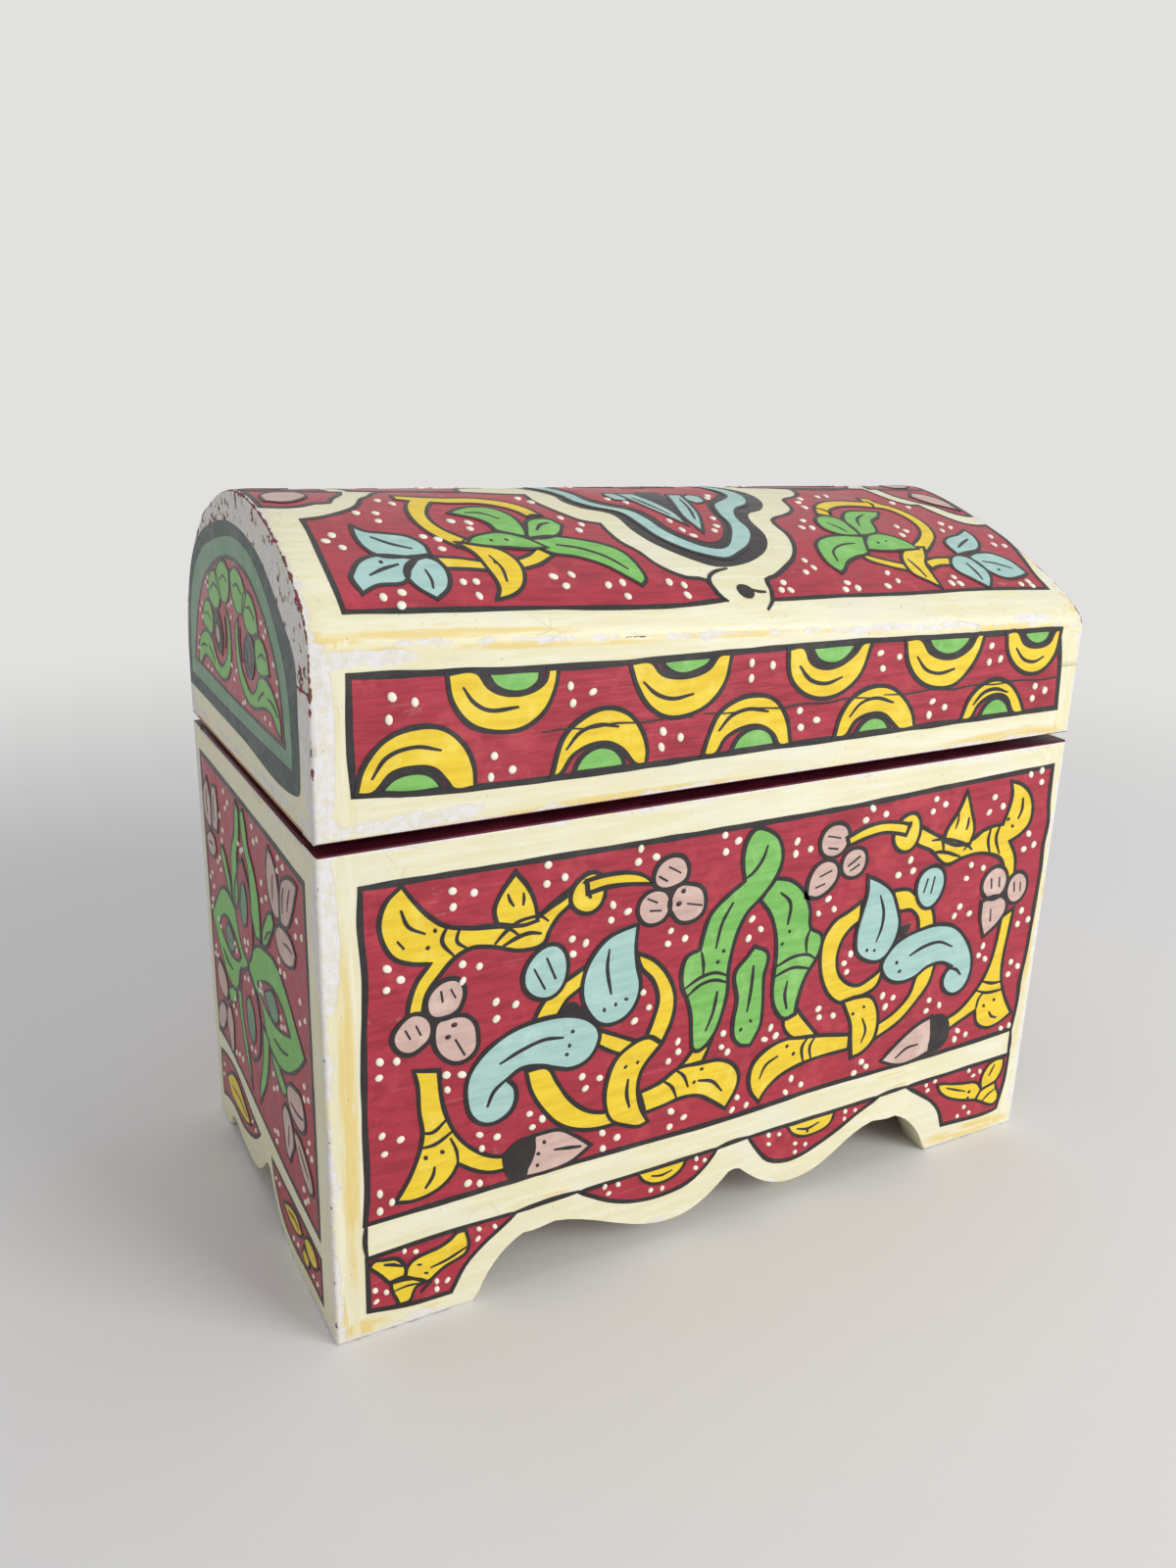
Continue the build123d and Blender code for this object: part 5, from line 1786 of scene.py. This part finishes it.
def paint_lid_end(p):
    """The lid's end, in (y, z)."""
    p.panel(
        "deep_green",
        "8.6 166.4, 7.9 153, 8.1 141, 9 137.2, 12 135.8, 60 136.4, 116 137.4, 115 146, 113.6 153,"
        "110.6 162, 105.6 171, 98 178, 88.6 182.8, 78 185.8, 68 187.8, 58 188.6, 46 187.6, 34 184.6,"
        "24.6 179.6, 16 173",
        0,
        0.21,
    )
    p.panel(
        "sage",
        "13.8 141, 14 155, 16.8 163.6, 22.6 171, 30 177.4, 38 182, 48 184.8, 58 185.2, 68 183.8, 80 181.2,"
        "90 177.8, 99.6 172, 106.6 163.2, 110.6 152, 112 141.4, 60 140.6",
        0,
        0.25,
    )
    p.panel(
        "burgundy",
        "18.8 144.8, 19.8 152, 22 160, 27 167, 34 173, 42 177.4, 50 179.4, 60 180, 70 178.4, 80 175.2,"
        "89.6 170.4, 97 163.4, 102 156, 106.6 146.4, 60 145",
        0.9,
        0.29,
    )
    middle = 61.0
    for text in (
        # The leafy tail, the volute and the fringe of leaves over it
        "20.6 146, 22 151.4, 26.6 155.4, 33 157, 38.6 155.6, 41 152.8, 46 150.6, 50.6 152.4, 54.6 156,"
        "55.8 161.4, 55 166.6, 57.4 165, 58.6 160, 57.6 153.8, 53.6 149.4, 47.6 147.4, 41 148, 34.6 149.6,"
        "28 149.6, 24 147",
        "28.4 158.6, 30.6 163.4, 35 165.6, 39.6 164.4, 40.6 160.4, 38.6 157.2, 33 157.4",
        "36.6 166.6, 38.4 171.6, 43 174.4, 48 173.6, 50.4 169.4, 48 165.8, 42.4 164.8",
        "46 173.6, 50 177.2, 56 178.4, 60.4 176.6, 59.8 171.6, 55.4 168, 50.2 168.6",
    ):
        p.shape("green", text, 1, 0.8)
        p.shape("green", mirrored(text, middle), 1, 0.8)
    for colour, text in (
        ("black", "44 164.6, 48.6 163, 50.4 158.4, 48.6 154, 44.6 154.4, 41.4 158, 41 162.4"),
        ("pink", "44.4 161.6, 47 160.4, 47.6 157.2, 45.6 155.8, 43.4 158.2"),
    ):
        p.shape(colour, text, 2, 0.7)
        p.shape(colour, mirrored(text, middle), 2, 0.7)
    for text in (
        "23 150.4, 27 152.4, 31.4 152.8",
        "31 161.4, 35 162, 38 160.6",
        "39.6 169, 43 171, 47 170.4",
        "50.4 173, 54.4 174.6, 58 173.6",
        "34 153.6, 37.4 152, 40 150.2",
        "52.6 156.4, 54 160.4, 53.4 164.6",
    ):
        p.lines(text, mirrored(text, middle), width=0.75)
    p.dots(
        "22 158.6, 22.6 155.6, 24.4 162, 29.6 168.4, 33 169.6, 31.4 166.8, 59 153, 61.6 150.4, 63.6 153.4,"
        "29.6 147.4, 34 147.6, 60 169.4, 62.6 168.4, 61.4 165.6, 92.6 163.6, 95.6 161.4, 93 160, 84 171.6,"
        "87 170, 84.6 169.4, 98.6 153.4, 100.4 150.4, 97.4 150.8, 86 147.4, 90.4 147.4, 52 147, 54 146.2",
        size=0.62,
    )


def paint_body_end(p):
    """The lotus and leaves of the body's end, in (y, z)."""
    p.panel(
        "burgundy",
        "9.6 116.4, 40 117.4, 70 117.9, 110.4 118.4, 110.4 30.8, 104 31.4, 90 30.8, 60 27.6, 40 25.6,"
        "9.8 24.2",
        1.6,
    )
    p.panel(
        "burgundy",
        "9.8 18, 20 18.4, 40 19, 53.6 19.4, 51.6 14, 48.4 10, 44 6.6, 38 5, 24 5.2, 9.8 5.4",
        1.2,
    )
    p.panel(
        "burgundy",
        "65.6 20, 74 21.4, 85 24.6, 93 26, 101 25.6, 110.4 23.6, 110.4 8.6, 104 10.6, 97 11.6, 86 11,"
        "78.6 12.6, 71.6 15.6",
        1.2,
    )
    p.shape("yellow", "12 14, 15 16.6, 20.6 16.8, 24.4 14.2, 21 11.6, 16 11", 1, 0.9)
    p.shape("yellow", "25.2 14.2, 30 16.8, 37 15.8, 43 13, 37 11, 30 11.4", 1, 0.9)
    p.shape("yellow", "20 10.6, 24.6 11.6, 26.6 8.6, 23.6 6.8, 20.6 8", 1, 0.9)
    p.shape("yellow", "75.6 17, 82 20.4, 90 23.4, 97 22.4, 103.6 18, 99 14.4, 90 14, 82 14.6", 1, 0.9)
    p.lines("28 14.2, 33 14.4, 38 13.4", "80 17.2, 88 18.6, 97 18.2", width=0.75)
    middle = 67.0
    squeeze = 0.8
    for level, text in (
        (
            1,
            "51 93, 52 98, 55 103, 59 107, 61 113, 62.6 116.2, 65.6 115, 66 111.6, 64.4 106, 60.6 101,"
            "59.6 95.6, 59.4 89, 56 84, 51.4 84.6",
        ),
        (
            0,
            "15 70, 20 73.7, 27 79.2, 33 83, 40 84.8, 47 84, 54 82.4, 60 79, 66 72, 65 66, 58 67, 54 64.4,"
            "50 58, 43 55.5, 36 56, 28 59.5, 21 64.4",
        ),
        (0, "48.8 58, 50.8 49.6, 55 41, 60 35, 62.4 31.6, 61.8 37, 58.6 43.6, 56 50.6, 55 59"),
        (1, "37 95, 38.6 97.8, 42.4 96.2, 45.6 93, 49 88.6, 49.4 84.6, 46 85.6, 41 90.4"),
        (0, "33 51.6, 37 53.6, 43 55.8, 47.6 55.4, 42.6 50.6, 36.4 48.6"),
    ):
        p.shape("green", text, level, 1.0)
        p.shape("green", mirrored(text, middle, squeeze), level, 1.0)
    eye = "27 70, 32 74, 38 76, 45 75.6, 52 73.2, 57.4 70.4, 54 68, 48 66.4, 42 66, 34 67.6"
    seed = "36.4 70.6, 38.5 73.7, 42.2 75, 46.2 73.6, 50.6 71, 47 68.3, 43 66.9, 39 67.6"
    for text, colour, level in ((eye, "burgundy", 1), (seed, "sage", 2)):
        p.shape(colour, text, level, 0.9)
        p.shape(colour, mirrored(text, middle, squeeze), level, 0.9)
    p.shape(
        "burgundy",
        "66.6 101.4, 61.4 96, 59.8 88, 60.4 80, 63 75, 67 72.4, 71.6 73.6, 75.6 77.6, 77.6 84, 76.6 90,"
        "73 95.6, 69.6 100",
        1,
        1.2,
    )
    p.shape(
        "sage",
        "64 92.2, 65.6 95, 68 94.6, 70.4 90.4, 71.6 86.2, 70.6 83, 68 82, 65 84.4, 63.6 88.4",
        2,
        0.9,
    )
    p.shape(
        "burgundy",
        "57.4 60.6, 60 66, 66 69.6, 72 67.4, 76 61, 76.4 52, 73.6 45.6, 68.6 42.6, 62 46, 58 53",
        1,
        1.2,
    )
    p.shape("sage", "62.4 54, 63.4 59.4, 67 62, 70.4 59.6, 71.2 54, 69.4 49.6, 66 48.2, 63.4 50.4", 2, 0.9)
    for text in (
        "15 113.6, 19 113.8, 24 112.5, 28.6 109.6, 30.2 105, 30.4 98.6, 26 99, 23 101, 20 105, 17 110",
        "39 114.6, 40.8 111.6, 41.6 104.6, 40 100.8, 35 98, 31.2 99, 31.2 106, 33 111, 36 113.6",
        "18.8 95, 20.5 91.6, 24.4 89.6, 30 88.8, 34.4 90, 36.6 93.8, 33 97, 27 98, 22 97.4",
        "20 57, 18 54, 17.8 50, 20 47.4, 27 46.4, 32 48.4, 33.2 52, 31 55, 26 56.6",
        "13 35, 15 32.8, 19 33, 25 37, 28.2 42, 27 44, 22 43.4, 17 40.4, 14 37.6",
        "31 35, 33.4 31.4, 36 32, 38 38, 38.6 43, 36 46.6, 32 46, 29 42, 29 38",
    ):
        p.shape("pink", text, 1, 1.0)
        if path(text)[0][1] < 60:
            p.shape("pink", mirrored(text, middle, squeeze), 1, 1.0)
    for text in (
        "93 113, 97.6 112, 99.4 106, 99.6 99, 94 99.6, 92 105",
        "101 98.6, 101 108, 104 112.6, 109 108, 109.6 101, 105 98",
        "98.4 96.4, 104 96.8, 109 93.4, 106.4 89.8, 100.6 90, 97 93",
    ):
        p.shape("pink", text, 1, 1.0)
    p.lines(
        "21 110.6, 23 107, 24 104",
        "26.4 109, 28 105.6, 28 102",
        "35.6 109, 36.4 105, 36.6 102",
        "21.6 94.4, 25 94.6, 29 94",
        "19 51.6, 24 50.4, 30 50.4",
        "17 36.6, 20.6 38.6, 24.4 41.2",
        "33 42, 33.4 38.6, 34 35.6",
        "40.6 92, 44 90, 47 87",
        "30 63.4, 36 61.6, 43 61.4",
        "96.6 63.4, 92 61.6, 86 61.4",
        "40 70.4, 43.6 70.4, 47.6 71",
        "82.6 71, 85.6 70.4, 88.6 70.4",
        "96 110, 97 106, 97 102",
        "105 109, 105.6 105, 105.4 101.6",
        "100.6 93.6, 103 93.4, 106 93.2",
        width=0.8,
    )
    p.dots(
        "26 114.3, 30 115.2, 31 111.6, 12.5 102.3, 16 105, 17.6 100.5, 49 113, 53.5 115, 52.5 111.3,"
        "47 102.5, 43 100, 47.5 97.6, 16.5 84.5, 13 81.3, 17.5 78.5, 33.8 87.4, 29 85.6, 33 84.8,"
        "16.5 62.3, 13.6 60.2, 17 58.6, 14.6 48, 13 44.5, 16.4 44.5, 42.5 47.5, 45.5 50, 45.8 45.5,"
        "18 29.6, 21.5 30.6, 20.5 27.5, 44.5 33, 47.5 32, 46 29.6, 79 113, 83 115, 82 110.6, 87 102.6,"
        "89.4 106, 88.6 99, 67 103.8, 64.6 105, 69.4 105, 34.6 71.4, 31.4 70.2, 34.4 69, 53.6 71.8,"
        "52.4 70, 54.8 69.6, 100 71, 97.4 69.8, 80.4 71.8, 79 70.2, 65 78.6, 68.4 77.6, 67 75.6, 64 46.8,"
        "68 45.8, 62.6 65.4, 67 67, 71 65.6, 104 84, 107 81.6, 103 80, 85 52.6, 87.4 49.4, 84.6 48.6,"
        "80 36, 84 35.4, 106 60, 107.4 57, 104.4 57.6, 92.6 92.6, 95.4 90.4, 92.4 89, 88 34, 107.4 72,"
        "106 75",
        size=0.85,
    )
    p.dots(
        "13 8.6, 16.6 8.4, 30 8.4, 34 7.6, 46 16.4, 49.6 16, 70 18.6, 73.6 19.4, 106 20.6, 107.6 16.4",
        size=0.7,
    )


back_arris = 14.5


def back_dome_face(u, v):
    """The front dome's painting turned half round: its arris lies a little above the back rail."""
    x = width - u
    point, out = dome_face(x, length_at(x, ARCH_STEPS) - v - back_arris)
    return point, out


def back_band_face(u, v):
    """The lid's band on the back: flat on the rail, and up the dome's steep foot above it."""
    # The film stands off a little more where it bends from the rail to the dome
    if v <= rail_top:
        (x, y, z), out = back_face(u, v)
        most, run = 0.2, 4
    else:
        x = width - u
        (x, y, z), out = dome_point(x, turning_point(0.5, 1.0, lambda t: arch_at(x, t)[1] <= v))
        most, run = 0.45, 6
    stand_off = most * max(0, 1 - abs(v - rail_top) / run)
    return (x, y + stand_off, z), out


end_coat("lid_left_border", left_face, 0)
end_coat("lid_right_border", right_face, width)
dome_cut = (16, 3)
for name, face, body, cut, paint in (
    ("body_front", front_face, "body", None, paint_front),
    ("body_back", back_face, "body", None, paint_front),
    ("body_left", left_face, "body", None, paint_body_end),
    ("body_right", right_face, "body", None, paint_body_end),
    ("lid_front", front_face, "lid", None, paint_lid_band),
    ("lid_back", back_band_face, "lid", (500, 3), paint_lid_band),
    ("lid_left", end_warp(left_face, 0), "lid", None, paint_lid_end),
    ("lid_right", end_warp(right_face, width), "lid", (3, 500), paint_lid_end),
    ("dome_front", dome_face, "lid", dome_cut, paint_dome),
    ("dome_back", back_dome_face, "lid", dome_cut, paint_dome),
):
    painting = Painting(name, face, body, cut, seed=len(name))
    paint(painting)
    painting.finish()


# The CAD nodes that stay
def dress(nodes, material):
    """Give the CAD nodes whose shape is right their material."""
    for name in nodes:
        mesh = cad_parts[name].data
        mesh.materials.clear()
        mesh.materials.append(material)


dress(("floor_board",), bare_wood)
dress(("lid_left_end", "lid_right_end"), end_wood)
dress(("front_brads", "back_brads", "lid_brads", "body_leaf_screws", "lid_leaf_screws"), steel)
dress([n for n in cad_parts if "hinge" in n], brass)


# The studio: a pale floor that fades into the backdrop
backdrop = srgb(226, 225, 223)
fade_start, fade_end = 0.26, 0.75
reach = 1.2


def stage_floor():
    """Floor paint near the chest, which lets the backdrop through further out."""
    n = Nodes("pale_floor")
    n.finish(srgb(236, 234, 231), 0.8)
    n.shader.inputs["Specular IOR Level"].default_value = 0.1
    clear = n.new("ShaderNodeBsdfTransparent")
    fade = n.new("ShaderNodeMixShader")
    away = n.new("ShaderNodeVectorMath", operation="LENGTH")
    n.link(n.place, away.inputs[0])
    n.link(n.step(away.outputs["Value"], fade_start, fade_end), fade.inputs[0])
    n.link(n.shader.outputs[0], fade.inputs[1])
    n.link(clear.outputs[0], fade.inputs[2])
    n.link(fade.outputs[0], n.tree.nodes["Material Output"].inputs["Surface"])
    return n.material


floor_mesh = bpy.data.meshes.new("floor")
floor_mesh.from_pydata(
    [(-reach, -reach, 0), (reach, -reach, 0), (reach, reach, 0), (-reach, reach, 0)], [], [(0, 1, 2, 3)]
)
floor_mesh.materials.append(stage_floor())
floor = bpy.data.objects.new("floor", floor_mesh)
into_scene(floor)

world = bpy.data.worlds.new("studio")
world.use_nodes = True
sky = world.node_tree
light_of_sky = sky.nodes["Background"]
light_of_sky.inputs["Color"].default_value = (0.93, 0.95, 1.0, 1)
light_of_sky.inputs["Strength"].default_value = 0.48
seen = sky.nodes.new("ShaderNodeBackground")
seen.inputs["Color"].default_value = backdrop
rays = sky.nodes.new("ShaderNodeLightPath")
either = sky.nodes.new("ShaderNodeMath")
either.operation = "MAXIMUM"
any_seen = sky.nodes.new("ShaderNodeMath")
any_seen.operation = "MAXIMUM"
chosen = sky.nodes.new("ShaderNodeMixShader")
for source, target in (
    (rays.outputs["Is Camera Ray"], either.inputs[0]),
    (rays.outputs["Is Glossy Ray"], either.inputs[1]),
    (either.outputs[0], any_seen.inputs[0]),
    (rays.outputs["Is Transmission Ray"], any_seen.inputs[1]),
    (any_seen.outputs[0], chosen.inputs[0]),
    (light_of_sky.outputs[0], chosen.inputs[1]),
    (seen.outputs[0], chosen.inputs[2]),
    (chosen.outputs[0], sky.nodes["World Output"].inputs["Surface"]),
):
    sky.links.new(source, target)
bpy.context.scene.world = world


def lamp(name, place, target, size, power):
    """A soft square lamp that faces the target."""
    light = bpy.data.lights.new(name, "AREA")
    light.shape = "SQUARE"
    light.size = size
    light.energy = power
    piece = bpy.data.objects.new(name, light)
    piece.location = place
    piece.rotation_mode = "QUATERNION"
    piece.rotation_quaternion = (Vector(target) - Vector(place)).to_track_quat("-Z", "Y")
    into_scene(piece)


lamp("window", (0.6, -1.0, 0.48), (0, 0, 0.1), 0.7, 10)
lamp("sky", (0.0, 0.1, 1.2), (0, 0, 0.1), 0.8, 1.8)

# The camera, where the photograph was taken from
camera_place = Vector((-0.18085, -0.30696, 0.22744))
camera_yaw = math.radians(28.614)
camera_pitch = math.radians(-18.365)
camera_roll = math.radians(1.533)
ahead = Vector(
    (
        math.cos(camera_pitch) * math.sin(camera_yaw),
        math.cos(camera_pitch) * math.cos(camera_yaw),
        math.sin(camera_pitch),
    )
)
level = ahead.cross(Vector((0, 0, 1))).normalized()
upright = level.cross(ahead)
camera_right = level * math.cos(camera_roll) + upright * math.sin(camera_roll)
camera_up = -level * math.sin(camera_roll) + upright * math.cos(camera_roll)
camera_data = bpy.data.cameras.new("camera")
camera_data.sensor_width = 36.0
camera_data.lens = 29.72
camera_data.clip_start = 0.01
camera_data.clip_end = 20
camera = bpy.data.objects.new("camera", camera_data)
turn = Matrix((camera_right, camera_up, -ahead)).transposed().to_4x4()
camera.matrix_world = Matrix.Translation(camera_place) @ turn
into_scene(camera)
bpy.context.scene.camera = camera

bpy.context.scene.view_settings.view_transform = "Standard"
